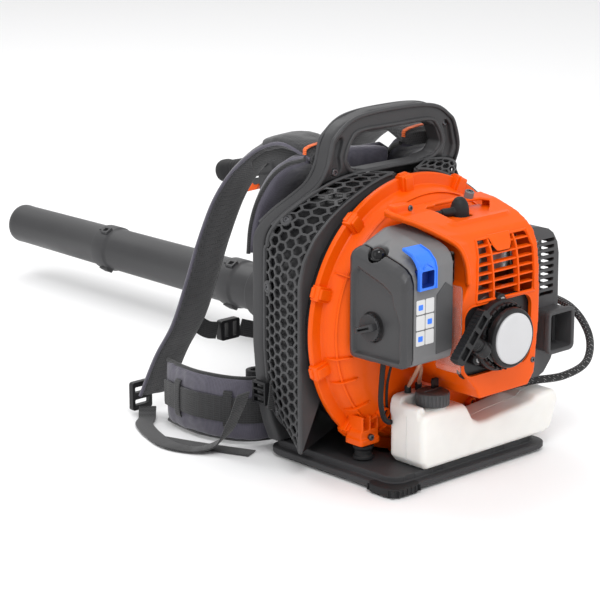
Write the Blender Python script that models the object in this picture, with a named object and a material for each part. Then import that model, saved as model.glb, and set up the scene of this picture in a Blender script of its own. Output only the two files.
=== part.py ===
"""Backpack leaf blower: base plate and back frame, fan unit, two-stroke engine, blower tube and harness.

Metres, +Z up.  +X is the wearer's right, +Y the wearer's front, and the engine is on the -Y side.  The origin is the
centre of the base plate's underside, so the machine stands on z = 0.
"""
import math

import bmesh
import bpy
from mathutils import Matrix, Vector

# Driving dimensions
GAP = 0.0004                 # clearance between pieces that touch
BASE_HALF_WIDTH = 0.150
BASE_HALF_DEPTH = 0.125
BASE_TOP = 0.022             # top of the base plate's upper tier
CRANK_Z = 0.200              # height of the crankshaft and of the fan's centre
FAN_RADIUS = 0.186           # rim of the front fan housing
FAN_FRONT = -0.052           # flat front face of the fan housing
CLIP_COUNT = 11
SHROUD_FRONT = -0.156
STARTER_FRONT = -0.188
FRAME_HALF_WIDTH = 0.163
FRAME_BACK = 0.140
HANDLE_TOP = 0.476
HANDLE_Y = 0.045
GRILLE_RING = 0.190          # radius of the grilles' front edge
TUBE_X = 0.212               # axis of the blower tube
TUBE_Z = 0.088
TUBE_RADIUS = 0.037
OUTLET_Y = 0.047             # axis of the fan's outlet stub
ELBOW_BEND = 0.046
BELLOWS = (0.1045, 0.255)    # start and end of the bellows along Y
TUBE_JOINTS = (0.2555, 0.610, 0.935, 1.178)
FILTER_X = (-0.163, -0.0755)
FILTER_SPLIT = -0.1485
CHOKE_AXIS = (-0.131, -0.128, 0.3275)
CAP_CENTRE = (-0.055, -0.097)
TANK_TOP = 0.099             # top of the raised end with the filler neck
ROPE_DIRECTION = Vector((-0.755, 0.0, 0.656)).normalized()
ROPE_OFFSET = 0.038          # distance of the rope's line from the crank axis
ROPE_Y = -0.178
ROPE_START = Vector((-ROPE_DIRECTION.z * ROPE_OFFSET, ROPE_Y, CRANK_Z + ROPE_DIRECTION.x * ROPE_OFFSET))
GRIP_CENTRE = Vector((TUBE_X, 0.561, 0.2835))
GRIP_TILT = math.radians(-14.0)

ORANGE = (1.0, 0.14, 0.01)
DARK = (0.045, 0.046, 0.050)
GREY = (0.085, 0.087, 0.092)
PALE_GREY = (0.17, 0.17, 0.175)
BLACK = (0.012, 0.012, 0.013)
BLUE = (0.05, 0.20, 0.80)
WHITE = (0.78, 0.77, 0.72)
SILVER = (0.62, 0.62, 0.63)
ALLOY = (0.55, 0.55, 0.56)
STEEL = (0.42, 0.42, 0.43)
FABRIC = (0.13, 0.12, 0.17)
CREAM = (0.75, 0.70, 0.55)


def clear_scene():
    for old in list(bpy.data.objects):
        bpy.data.objects.remove(old, do_unlink=True)


def material(name, colour, roughness, metallic=0.0):
    mat = bpy.data.materials.new(name)
    mat.use_nodes = True
    shader = mat.node_tree.nodes["Principled BSDF"]
    shader.inputs["Base Color"].default_value = (*colour, 1.0)
    shader.inputs["Roughness"].default_value = roughness
    shader.inputs["Metallic"].default_value = metallic
    return mat


def add_mesh(name, points, faces, look, origin=(0.0, 0.0, 0.0)):
    """One closed body; its faces are turned outwards and its origin is set at a joint's axis."""
    start = Vector(origin)
    mesh = bpy.data.meshes.new(name)
    mesh.from_pydata([Vector(p) - start for p in points], [], faces)
    body = bmesh.new()
    body.from_mesh(mesh)
    bmesh.ops.recalc_face_normals(body, faces=body.faces)
    body.to_mesh(mesh)
    body.free()
    mesh.shade_smooth()
    mesh.set_sharp_from_angle(angle=math.radians(32))
    thing = bpy.data.objects.new(name, mesh)
    thing.location = start
    bpy.context.scene.collection.objects.link(thing)
    if look is not None:
        mesh.materials.append(material(name, *look))
    return thing


def loft(name, rings, look, closed=False, origin=(0.0, 0.0, 0.0)):
    """Skin a row of equal rings; a closed row is a hollow ring, an open one gets two end caps."""
    size = len(rings[0])
    points = [p for ring in rings for p in ring]
    faces = []
    for row in range(len(rings) if closed else len(rings) - 1):
        this = row * size
        following = ((row + 1) % len(rings)) * size
        for i in range(size):
            j = (i + 1) % size
            faces.append((this + i, this + j, following + j, following + i))
    if not closed:
        faces.append(tuple(range(size)))
        faces.append(tuple((len(rings) - 1) * size + i for i in range(size)))
    return add_mesh(name, points, faces, look, origin)


def lift(point, plane, level):
    """Place a point of a drawing plane ('xy', 'xz' or 'yz') at a level along the third axis."""
    a, b = point
    if plane == "xy":
        return (a, b, level)
    if plane == "xz":
        return (a, level, b)
    return (level, a, b)


def prism(name, outline, plane, start, end, look, origin=(0.0, 0.0, 0.0)):
    rings = [[lift(p, plane, level) for p in outline] for level in (start, end)]
    return loft(name, rings, look, origin=origin)


def rounded(centre, size, radius, steps=2):
    """Rectangle with round corners, as a list of points."""
    points = []
    for quarter, (sx, sy) in enumerate(((1, 1), (-1, 1), (-1, -1), (1, -1))):
        cx = centre[0] + sx * (size[0] / 2 - radius)
        cy = centre[1] + sy * (size[1] / 2 - radius)
        for i in range(steps + 1):
            angle = math.pi / 2 * (quarter + i / steps)
            points.append((cx + radius * math.cos(angle), cy + radius * math.sin(angle)))
    return points


def block(name, low, high, look, radius=0.0, plane="xz", origin=(0.0, 0.0, 0.0)):
    """Box between two corners; a radius rounds the edges across the plane it is drawn in."""
    first, second, third = {"xz": (0, 2, 1), "xy": (0, 1, 2), "yz": (1, 2, 0)}[plane]
    centre = ((low[first] + high[first]) / 2, (low[second] + high[second]) / 2)
    size = (high[first] - low[first], high[second] - low[second])
    if radius > 0:
        outline = rounded(centre, size, radius)
    else:
        outline = [(centre[0] + sx * size[0] / 2, centre[1] + sy * size[1] / 2)
                   for sx, sy in ((1, 1), (-1, 1), (-1, -1), (1, -1))]
    return prism(name, outline, plane, low[third], high[third], look, origin)


def circle(centre, radius, direction, steps=32):
    axis = Vector(direction).normalized()
    side = axis.orthogonal().normalized()
    up = axis.cross(side)
    return [Vector(centre) + radius * (side * math.cos(2 * math.pi * i / steps) + up * math.sin(2 * math.pi * i / steps))
            for i in range(steps)]


def turned(name, profile, centre, direction, look, steps=32, hollow=False, origin=None):
    """Turn (radius, distance along the axis) points about an axis; a hollow profile is a closed loop."""
    axis = Vector(direction).normalized()
    rings = [circle(Vector(centre) + axis * along, radius, axis, steps) for radius, along in profile]
    return loft(name, rings, look, closed=hollow, origin=origin if origin is not None else centre)


def smooth(route, count):
    """Points along a smooth curve through the route's own points."""
    ways = [Vector(p) for p in route]
    ways = [ways[0] * 2 - ways[1]] + ways + [ways[-1] * 2 - ways[-2]]
    spans = len(ways) - 3
    points = []
    for i in range(count):
        place = spans * i / (count - 1)
        span = min(int(place), spans - 1)
        t = place - span
        a, b, c, d = ways[span:span + 4]
        points.append(0.5 * ((b * 2) + (c - a) * t + (a * 2 - b * 5 + c * 4 - d) * t ** 2
                             + (b * 3 - a - c * 3 + d) * t ** 3))
    return points


def cord(name, route, radius, count, look, resolution=2):
    """Round cord along a smooth route, with closed ends."""
    curve = bpy.data.curves.new(name, "CURVE")
    curve.dimensions = "3D"
    curve.bevel_depth = radius
    curve.bevel_resolution = resolution
    curve.use_fill_caps = True
    line = curve.splines.new("POLY")
    points = smooth(route, count)
    line.points.add(len(points) - 1)
    for slot, point in zip(line.points, points):
        slot.co = (*point, 1.0)
    curve.materials.append(material(name, *look))
    thing = bpy.data.objects.new(name, curve)
    bpy.context.scene.collection.objects.link(thing)
    return thing


def ribbon(name, route, side, width, thickness, look, count=14):
    """Strap of a rounded flat section along a smooth route; side is the direction of its width, or level."""
    points = smooth(route, count)
    section = rounded((0.0, 0.0), (width, thickness), thickness * 0.3, 1)
    rings = []
    for i, point in enumerate(points):
        tangent = (points[min(i + 1, count - 1)] - points[max(i - 1, 0)]).normalized()
        across = Vector(side) if side else tangent.cross(Vector((0.0, 0.0, 1.0)))
        across = (across - tangent * across.dot(tangent)).normalized()
        normal = tangent.cross(across)
        rings.append([point + across * a + normal * b for a, b in section])
    return loft(name, rings, look)


def as_tool(thing):
    thing.hide_render = True
    thing.display_type = "WIRE"
    return thing


def combine(thing, tool, operation):
    step = thing.modifiers.new(operation.lower(), "BOOLEAN")
    step.operation = operation
    step.solver = "EXACT"
    step.object = as_tool(tool)


def cut(thing, tool):
    combine(thing, tool, "DIFFERENCE")


def unite(thing, tool):
    combine(thing, tool, "UNION")


def joined(name, pieces):
    """Several closed pieces as one tool."""
    body = bmesh.new()
    for piece in pieces:
        piece.data.transform(Matrix.Translation(piece.location))
        body.from_mesh(piece.data)
        bpy.data.objects.remove(piece, do_unlink=True)
    mesh = bpy.data.meshes.new(name)
    body.to_mesh(mesh)
    body.free()
    thing = bpy.data.objects.new(name, mesh)
    bpy.context.scene.collection.objects.link(thing)
    return as_tool(thing)


def between(value, stations):
    """Value of a row of (position, value) stations, joined by straight lines."""
    if value <= stations[0][0]:
        return stations[0][1]
    for (a, first), (b, second) in zip(stations, stations[1:]):
        if value <= b:
            return first + (second - first) * (value - a) / (b - a)
    return stations[-1][1]


# Base plate, back frame and grilles

def base_plate():
    steps = (((0.0, 0.006), 0.0), ((0.0, 0.0), 0.004), ((0.0, 0.0), 0.012), ((0.012, 0.010), 0.014),
             ((0.012, 0.010), BASE_TOP))
    rings = []
    for (front_inset, side_inset), level in steps:
        width = 2 * (BASE_HALF_WIDTH - side_inset)
        front = -BASE_HALF_DEPTH + front_inset
        centre = (0.0, (front + BASE_HALF_DEPTH) / 2)
        outline = rounded(centre, (width, BASE_HALF_DEPTH - front), 0.022, 4)
        rings.append([(x, y, level) for x, y in outline])
    plate = loft("base_plate", rings, (DARK, 0.55, 0.0))
    cut(plate, block("fan_trough", (-0.075, -0.030, 0.0065), (0.075, 0.030, 0.04), None, 0.004, "xy"))


def frame_centre(level):
    """Y of the middle of the back frame: nearly upright below, leaning towards the handle above."""
    upright = between(level, ((0.0225, 0.111), (0.08, 0.122), (0.16, FRAME_BACK - 0.012)))
    t = min(max((level - 0.30) / 0.11, 0.0), 1.0)
    return upright + (HANDLE_Y - upright) * t * t * (3 - 2 * t)


def back_frame():
    widths = ((0.0225, 0.150), (0.05, 0.158), (0.08, 0.161), (0.16, FRAME_HALF_WIDTH), (0.30, FRAME_HALF_WIDTH),
              (0.325, 0.159), (0.345, 0.151), (0.365, 0.141), (0.385, 0.132), (0.41, 0.126),
              (0.44, 0.117), (0.456, 0.105), (0.467, 0.088), (0.473, 0.066), (HANDLE_TOP, 0.030))
    rings = []
    for level, half in widths:
        depth = 0.024 if level < HANDLE_TOP else 0.016
        outline = rounded((0.0, frame_centre(level)), (2 * half, depth), 0.007, 2)
        rings.append([(x, y, level) for x, y in outline])
    frame = loft("back_frame", rings, (GREY, 0.5, 0.0))
    cut(frame, block("frame_pocket", (-0.149, 0.09, 0.120), (0.149, 0.1325, 0.294), None, 0.012))
    hole = [(-0.078, 0.402), (-0.050, 0.396), (0.050, 0.396), (0.078, 0.402), (0.088, 0.416), (0.078, 0.438),
            (0.060, 0.447), (-0.060, 0.447), (-0.078, 0.438), (-0.088, 0.416)]
    cut(frame, prism("handle_hole", hole, "xz", 0.0, 0.12, None))


def grille(name, first, last, side, steps):
    """Ruled skin from the ring around the fan to the back frame, between two angles from the top."""
    front, back, back_inner, front_inner = [], [], [], []
    for i in range(steps + 1):
        angle = math.radians(first + (last - first) * i / steps)
        sin, cos = math.sin(angle), math.cos(angle)
        ring_x, ring_z = side * GRILLE_RING * sin, CRANK_Z + GRILLE_RING * cos
        edge_x = side * 0.160 * abs(sin) ** 0.4
        edge_z = 0.209 + math.copysign(0.185 * abs(cos) ** 0.4, cos)
        edge_y = frame_centre(edge_z) - (0.0125 if edge_z < 0.295 else 0.0165)
        inward = 0.003
        front.append((ring_x, 0.012, ring_z))
        back.append((edge_x, edge_y, edge_z))
        back_inner.append((edge_x - side * inward * sin, edge_y, edge_z - inward * cos))
        front_inner.append((ring_x - side * inward * sin, 0.012, ring_z - inward * cos))
    rings = [list(ring) for ring in zip(front, back, back_inner, front_inner)]
    loft(name, rings, (DARK, 0.5, 0.0))


def rubber_mounts():
    for name, x in (("mount_left", -0.112), ("mount_right", 0.112)):
        profile = ((0.012, 0.0), (0.014, 0.004), (0.014, 0.0175), (0.012, 0.0215))
        turned(name, profile, (x, -0.026, BASE_TOP + GAP), (0, 0, 1), (BLACK, 0.7, 0.0), 14)


# Fan

def fan_housing_front():
    profile = ((0.030, FAN_FRONT), (0.120, FAN_FRONT), (0.150, -0.043), (0.168, -0.027), (0.176, -0.008),
               (FAN_RADIUS, -0.007), (FAN_RADIUS, 0.0), (0.172, 0.0), (0.165, -0.026), (0.148, -0.040),
               (0.119, -0.0488), (0.030, -0.0488))
    housing = turned("fan_housing_front", profile, (0, 0, CRANK_Z), (0, 1, 0), (ORANGE, 0.35, 0.0), 36, True)
    clips = []
    for i in range(CLIP_COUNT):
        angle = math.radians(-105.0 + 360.0 / CLIP_COUNT * i)
        clip = block("clip", (-0.010, -0.018, 0.172), (0.010, -0.0008, 0.192), None)
        clip.data.transform(Matrix.Translation((0, 0, CRANK_Z)) @ Matrix.Rotation(angle, 4, "Y"))
        clips.append(clip)
    unite(housing, joined("clips", clips))
    for side in (-1, 1):
        low, high = sorted((side * 0.098, side * 0.130))
        unite(housing, block("foot", (low, -0.041, 0.0452), (high, -0.012, 0.074), None, 0.004))


def fan_housing_rear():
    profile = ((0.183, GAP), (0.183, 0.018), (0.176, 0.034), (0.160, 0.050), (0.150, 0.055), (0.070, 0.055),
               (0.070, 0.052), (0.148, 0.052), (0.157, 0.048), (0.172, 0.033), (0.179, 0.017), (0.179, GAP))
    housing = turned("fan_housing_rear", profile, (0, 0, CRANK_Z), (0, 1, 0), (BLACK, 0.5, 0.0), 28, True)
    stub = turned("outlet_stub", ((0.041, 0.0), (0.041, 0.0705)), (0.095, OUTLET_Y, TUBE_Z), (1, 0, 0), None, 20)
    bore = turned("outlet_bore", ((0.0365, 0.0), (0.0365, 0.080)), (0.098, OUTLET_Y, TUBE_Z), (1, 0, 0), None, 20)
    unite(housing, stub)
    cut(housing, bore)


def impeller():
    disc = ((0.0084, -0.030), (0.022, -0.030), (0.024, -0.022), (0.150, -0.022), (0.150, -0.019),
            (0.024, -0.019), (0.020, 0.030), (0.0084, 0.030))
    wheel = turned("impeller", disc, (0, 0, CRANK_Z), (0, 1, 0), (DARK, 0.5, 0.0), 28, True)
    blades = []
    for i in range(12):
        blade = block("blade", (-0.001, -0.020, 0.060), (0.001, 0.026, 0.148), None)
        blade.data.transform(Matrix.Translation((0, 0, CRANK_Z)) @ Matrix.Rotation(math.tau * i / 12, 4, "Y"))
        blades.append(blade)
    unite(wheel, joined("blades", blades))


# Engine

def crank_train():
    turned("crankshaft", ((0.008, -0.163), (0.008, 0.040)), (0, 0, CRANK_Z), (0, 1, 0), (STEEL, 0.3, 1.0), 16)
    wheel = ((0.0084, -0.1455), (0.018, -0.1455), (0.020, -0.139), (0.046, -0.139), (0.048, -0.1455),
             (0.051, -0.1455), (0.051, -0.126), (0.0084, -0.126))
    turned("flywheel", wheel, (0, 0, CRANK_Z), (0, 1, 0), (ALLOY, 0.4, 1.0), 18, True)


def crankcase():
    case = block("crankcase", (-0.042, -0.121, CRANK_Z - 0.046), (0.042, -0.0526, CRANK_Z + 0.0490),
                 (ALLOY, 0.5, 1.0), 0.016)
    cut(case, turned("crank_bore", ((0.0084, -0.13), (0.0084, -0.04)), (0, 0, CRANK_Z), (0, 1, 0), None, 16))


def cylinder():
    """Finned barrel on the crankcase; fins are stacked superellipses."""
    def section(half_x, half_y, level, steps=16):
        points = []
        for i in range(steps):
            angle = math.tau * i / steps
            sin, cos = math.sin(angle), math.cos(angle)
            points.append((math.copysign(half_x * abs(cos) ** 0.5, cos),
                           -0.088 + math.copysign(half_y * abs(sin) ** 0.5, sin), level))
        return points
    rings = [section(0.026, 0.026, 0.2500)]
    level = 0.257
    for _ in range(6):
        rings += [section(0.026, 0.024, level), section(0.044, 0.032, level),
                  section(0.044, 0.032, level + 0.003), section(0.026, 0.024, level + 0.003)]
        level += 0.0122
    rings.append(section(0.024, 0.022, 0.3335))
    loft("cylinder", rings, (ALLOY, 0.45, 1.0))


def spark_plug():
    turned("spark_plug", ((0.009, 0.0), (0.009, 0.005), (0.0055, 0.006), (0.0055, 0.017), (0.003, 0.018),
                          (0.003, 0.022)), (0, -0.088, 0.3335 + GAP), (0, 0, 1), (WHITE, 0.3, 0.0), 10)
    profile = ((0.0065, 0.0), (0.013, 0.0), (0.013, 0.004), (0.010, 0.008), (0.010, 0.022), (0.006, 0.030),
               (0.0005, 0.0310), (0.0005, 0.026), (0.0065, 0.025))
    turned("spark_plug_boot", profile, (0, -0.088, 0.3405), (0, 0, 1), (BLACK, 0.45, 0.0), 14, True)


def shroud_outline(shrink):
    """Front view of the engine shroud, drawn in by a wall's thickness."""
    s = shrink
    return [(-0.028 + s, 0.117 + s), (0.066 - s, 0.117 + s), (0.078 - s, 0.132), (0.084 - s, 0.200),
            (0.084 - s, 0.345), (0.076 - s, 0.366 - s), (-0.104 + s, 0.366 - s), (-0.104 + s, 0.354 + s),
            (-0.066 + s, 0.350 + s), (-0.050 + s, 0.336), (-0.050 + s, 0.275), (-0.066 + s, 0.245),
            (-0.066 + s, 0.165), (-0.034 + s, 0.130)]


def shroud_side(shrink):
    """Side view (Y, Z) of the shroud, used to trim the front view's prism."""
    s = shrink
    back = FAN_FRONT - GAP + (0.02 if shrink else 0.0)
    return [(SHROUD_FRONT + s, 0.10), (back, 0.10), (back, 0.362 - s), (-0.080, 0.358 - s),
            (-0.132, 0.333 - s), (-0.146 + s, 0.318), (SHROUD_FRONT + s, 0.230)]


def shroud_top(shrink):
    """Top view (X, Y): the left wing above the air filter stays behind the front face."""
    s = shrink
    return [(0.09, -0.20), (0.09, -0.02), (-0.11, -0.02), (-0.11 + s, -0.078 + s), (-0.062 + s, -0.20)]


def engine_shroud():
    shroud = prism("engine_shroud", shroud_outline(0.0), "xz", -0.17, -0.04, (ORANGE, 0.35, 0.0))
    combine(shroud, prism("shroud_side_trim", shroud_side(0.0), "yz", -0.2, 0.2, None), "INTERSECT")
    combine(shroud, prism("shroud_top_trim", shroud_top(0.0), "xy", 0.0, 0.5, None), "INTERSECT")
    wall = 0.003
    hollow = prism("shroud_hollow", shroud_outline(wall), "xz", -0.18, -0.03, None)
    combine(hollow, prism("hollow_side_trim", shroud_side(wall), "yz", -0.2, 0.2, None), "INTERSECT")
    combine(hollow, prism("hollow_top_trim", shroud_top(wall), "xy", 0.0, 0.5, None), "INTERSECT")
    cut(shroud, hollow)
    windows = []
    for row in range(5):
        low = 0.2535 + 0.0140 * row
        windows.append(block("window", (-0.028, -0.18, low), (0.014, -0.125, low + 0.0105), None))
        windows.append(block("window", (0.018, -0.18, low), (0.070, -0.125, low + 0.0105), None))
    cut(shroud, joined("grille_windows", windows))
    cut(shroud, block("starter_recess", (-0.0620, -0.18, 0.1420), (0.0700, -0.1500, 0.2500), None, 0.016))
    cut(shroud, block("boot_hole", (-0.024, -0.108, 0.335), (0.020, -0.066, 0.38), None, 0.008, "xy"))
    cut(shroud, block("exhaust_hole", (0.06, -0.116, 0.24), (0.10, -0.062, 0.312), None))
    cut(shroud, block("intake_hole", (-0.08, -0.126, 0.244), (-0.03, -0.060, 0.312), None))


# Starter

def rope_point(along, y=ROPE_Y):
    point = ROPE_START + ROPE_DIRECTION * along
    return Vector((point.x, y, point.z))


def starter():
    profile = ((0.042, -0.1500), (0.047, -0.1500), (0.047, -0.176), (0.038, STARTER_FRONT),
               (0.010, STARTER_FRONT), (0.010, -0.1850), (0.036, -0.1850), (0.044, -0.1745), (0.044, -0.1530))
    centre = (0, 0, CRANK_Z)
    housing = turned("starter_housing", profile, centre, (0, 1, 0), (BLACK, 0.4, 0.0), 20, True)
    unite(housing, turned("rope_boss", ((0.0105, 0.0), (0.0105, 0.016)), rope_point(0.026), ROPE_DIRECTION, None, 16))
    cut(housing, turned("rope_bore", ((0.0032, 0.0), (0.0032, 0.075)), rope_point(-0.012), ROPE_DIRECTION, None, 12))
    cut(housing, turned("housing_bore", ((0.0435, -0.1840), (0.0435, -0.1540)), centre, (0, 1, 0), None, 24))
    turned("starter_disc", ((0.0345, -0.1884), (0.0345, -0.1900), (0.0335, -0.1908)), centre, (0, 1, 0),
           (SILVER, 0.35, 0.0), 28)
    pulley = ((0.009, -0.1830), (0.035, -0.1830), (0.035, -0.1810), (0.032, -0.1780), (0.035, -0.1750),
              (0.035, -0.1730), (0.009, -0.1730))
    turned("starter_pulley", pulley, centre, (0, 1, 0), (DARK, 0.5, 0.0), 16, True)
    turned("starter_rope", ((0.0022, 0.0), (0.0022, 0.052)), rope_point(0.004), ROPE_DIRECTION,
           (BLACK, 0.8, 0.0), 12)


def starter_handle():
    """T-bar across the rope with a ribbed neck; the rope's knot sits in the neck's bore."""
    start = rope_point(0.0424)
    neck = ((0.0085, 0.0), (0.0095, 0.003), (0.0085, 0.006), (0.0095, 0.009), (0.0080, 0.017), (0.0030, 0.017),
            (0.0030, 0.0))
    handle = turned("starter_handle", neck, start, ROPE_DIRECTION, (BLACK, 0.5, 0.0), 12, True)
    bar_centre = rope_point(0.0660)
    outline = rounded((0.0, 0.0), (0.078, 0.0150), 0.005, 2)
    along = Vector((-ROPE_DIRECTION.z, 0.0, ROPE_DIRECTION.x))
    rings = [[bar_centre + along * a + ROPE_DIRECTION * b + Vector((0, y, 0)) for a, b in outline]
             for y in (-0.0095, 0.0095)]
    unite(handle, loft("handle_bar", rings, None))


# Exhaust side

def exhaust():
    muffler = block("muffler", (0.0900, -0.1010, 0.205), (0.150, -0.0600, 0.300), (STEEL, 0.5, 1.0), 0.008)
    unite(muffler, block("exhaust_flange", (0.0455, -0.099, 0.262), (0.0920, -0.075, 0.288), None))
    guard_outline = [(0.0848, 0.104), (0.142, 0.104), (0.162, 0.122), (0.174, 0.160), (0.172, 0.280),
                     (0.156, 0.304), (0.132, 0.313), (0.0848, 0.318)]
    inner = [(0.080, 0.107), (0.141, 0.107), (0.1595, 0.124), (0.171, 0.161), (0.169, 0.279), (0.1545, 0.3012),
             (0.1315, 0.310), (0.080, 0.315)]
    guard = prism("muffler_guard", guard_outline, "xz", -0.112, -0.0545, (DARK, 0.5, 0.0))
    cut(guard, prism("guard_hollow", inner, "xz", -0.109, -0.0575, None))
    slots = [block("slot", (0.115, -0.12, 0.222 + 0.0095 * i), (0.162, -0.105, 0.2262 + 0.0095 * i), None)
             for i in range(8)]
    slots += [block("slot", (0.165, -0.104, 0.2222 + 0.0095 * i), (0.185, -0.064, 0.2262 + 0.0095 * i), None)
              for i in range(8)]
    slots.append(block("outlet_hole", (0.1250, -0.12, 0.147), (0.1640, -0.105, 0.195), None))
    cut(guard, joined("guard_slots", slots))
    outlet = block("exhaust_outlet", (0.121, -0.142, 0.143), (0.168, -0.1124, 0.199), (DARK, 0.5, 0.0), 0.004)
    cut(outlet, block("outlet_duct", (0.124, -0.16, 0.146), (0.165, -0.10, 0.196), None, 0.002))


# Air intake

def filter_outline(top, back):
    return [(-0.150, 0.188), (-0.143, 0.180), (back - 0.006, 0.178), (back, 0.184), (back, top - 0.006),
            (back - 0.006, top), (-0.100, top - 0.008), (-0.128, top - 0.016), (-0.142, top - 0.023),
            (-0.150, top - 0.033)]


def air_filter():
    inner_top, split_top, outer_top = 0.346, 0.337, 0.328
    inner_back, split_back, outer_back = -0.056, -0.0525, -0.0475
    rings = [[(x, y, z) for y, z in filter_outline(top, back)]
             for x, top, back in ((FILTER_X[1], inner_top, inner_back), (FILTER_SPLIT + GAP, split_top, split_back))]
    base = loft("air_filter_base", rings, (PALE_GREY, 0.45, 0.0))
    cut(base, block("element_pocket", (-0.17, -0.138, 0.196), (-0.100, -0.070, 0.296), None, 0.006, "yz"))
    rings = [[(x, y, z) for y, z in filter_outline(top, back)]
             for x, top, back in ((FILTER_SPLIT, split_top, split_back), (FILTER_X[0] + 0.006, outer_top, outer_back))]
    rings.append([(FILTER_X[0], -0.104 + (y + 0.104) * 0.86, 0.25 + (z - 0.25) * 0.88)
                  for y, z in filter_outline(outer_top, outer_back)])
    cover = loft("air_filter_cover", rings, (DARK, 0.45, 0.0))
    block("air_filter_element", (-0.1480, -0.136, 0.198), (-0.1005, -0.072, 0.294), (CREAM, 0.9, 0.0), 0.005, "yz")
    recess = turned("bulb_recess", ((0.0115, 0.0), (0.0115, 0.03)), (FILTER_SPLIT, -0.088, 0.3145), (0, 0, 1), None, 24)
    cut(base, recess)
    cut(cover, recess)
    dome = ((0.0095, 0.0), (0.0095, 0.004), (0.0085, 0.008), (0.0050, 0.0115), (0.0015, 0.0125))
    turned("purge_bulb", dome, (FILTER_SPLIT, -0.088, 0.3145 + GAP), (0, 0, 1), (BLACK, 0.12, 0.0), 14)
    knob_centre = (FILTER_X[0] - GAP, -0.086, 0.224)
    profile = ((0.0165, 0.0), (0.0165, -0.004), (0.0145, -0.006))
    knob = turned("cover_knob", profile, knob_centre, (1, 0, 0), (DARK, 0.45, 0.0), 20)
    wing = block("knob_wing", (-0.1765, -0.0890, 0.2090), (-0.1670, -0.0830, 0.2390), None, 0.002)
    unite(knob, wing)


def choke_lever():
    """L-shaped lever over the front top edge, hinged at its rear end; a square finger hole in its front leg."""
    ax, ay, az = CHOKE_AXIS
    rear, front = ay + 0.002, -0.1535
    outline = [(rear, az + 0.0005), (-0.140, 0.3225), (front + 0.0015, 0.3105), (front + 0.0015, 0.276),
               (front - 0.0030, 0.276), (front - 0.0030, 0.313), (-0.141, 0.3262), (rear, az + 0.0040)]
    lever = prism("choke_lever", outline, "yz", ax - 0.0145, ax + 0.0145, (BLUE, 0.35, 0.0), origin=CHOKE_AXIS)
    cut(lever, block("finger_hole", (ax - 0.009, -0.17, 0.281), (ax + 0.009, -0.14, 0.299), None, 0.003))


def carburettor():
    carb = block("carburettor", (-0.0735, -0.110, 0.2555), (-0.0455, -0.072, 0.298), (ALLOY, 0.45, 1.0), 0.004)
    cut(carb, turned("venturi", ((0.008, 0.0), (0.008, 0.06)), (-0.09, -0.091, 0.276), (1, 0, 0), None, 20))
    lever = rounded((-0.060, -0.100), (0.010, 0.034), 0.0045, 3)
    prism("throttle_lever", lever, "xy", 0.2505, 0.2548, (STEEL, 0.4, 1.0), origin=(-0.060, -0.090, 0.2525))
    block("splash_shield", (-0.0722, -0.160, 0.162), (-0.0710, -0.118, 0.272), (SILVER, 0.1, 0.0), 0.004, "yz")


# Fuel

def fuel_tank():
    outline = [(-0.086, BASE_TOP + GAP), (0.148, BASE_TOP + GAP), (0.162, 0.034), (0.172, 0.068), (0.168, 0.077),
               (0.158, 0.080), (0.100, 0.076), (0.050, 0.068), (0.014, 0.066), (0.000, 0.074),
               (-0.012, TANK_TOP - 0.006), (-0.022, TANK_TOP), (-0.084, TANK_TOP), (-0.094, TANK_TOP - 0.007),
               (-0.094, 0.032)]
    tank = prism("fuel_tank", outline, "xz", -0.1200, -0.0560, (WHITE, 0.4, 0.0))
    edge = tank.modifiers.new("round", "BEVEL")
    edge.width = 0.006
    edge.segments = 2
    edge.limit_method = "ANGLE"
    edge.angle_limit = math.radians(60)
    x, y = CAP_CENTRE
    neck = turned("filler_neck", ((0.016, -0.004), (0.016, 0.003)), (x, y, TANK_TOP), (0, 0, 1), None, 16)
    unite(tank, neck)
    unite(tank, block("hose_shoulder", (-0.0880, -0.0738, 0.090), (-0.0260, -0.0575, 0.1120), None, 0.006))
    cap = ((0.0224, 0.0), (0.0224, 0.0130), (0.0208, 0.0155), (0.0165, 0.0163))
    body = turned("fuel_cap", cap, (x, y, TANK_TOP + 0.0034), (0, 0, 1), (GREY, 0.5, 0.0), 18)
    unite(body, block("cap_tab", (x - 0.002, y + 0.0030, 0.115), (x + 0.010, y + 0.0070, 0.1280), None, 0.0015))


def fuel_lines():
    top = 0.1120 + 3 * GAP
    under = 0.1770
    cord("fuel_line_feed", [(-0.070, -0.066, top), (-0.070, -0.067, 0.122), (-0.084, -0.094, 0.150),
                            (-0.094, -0.110, 0.167), (-0.094, -0.110, under)], 0.0028, 16, (CREAM, 0.3, 0.0))
    cord("fuel_line_return", [(-0.050, -0.0660, top), (-0.051, -0.068, 0.124), (-0.068, -0.088, 0.150),
                              (-0.082, -0.098, 0.167), (-0.082, -0.098, under)], 0.0028, 16, (CREAM, 0.3, 0.0))
    cord("vent_hose", [(-0.127, -0.078, under), (-0.128, -0.078, 0.150), (-0.124, -0.076, 0.115),
                       (-0.113, -0.076, 0.089), (-0.1020, -0.076, 0.0790), (-0.0956, -0.076, 0.0780)],
         0.0036, 16, (BLACK, 0.5, 0.0))


# Blower tube

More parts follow.
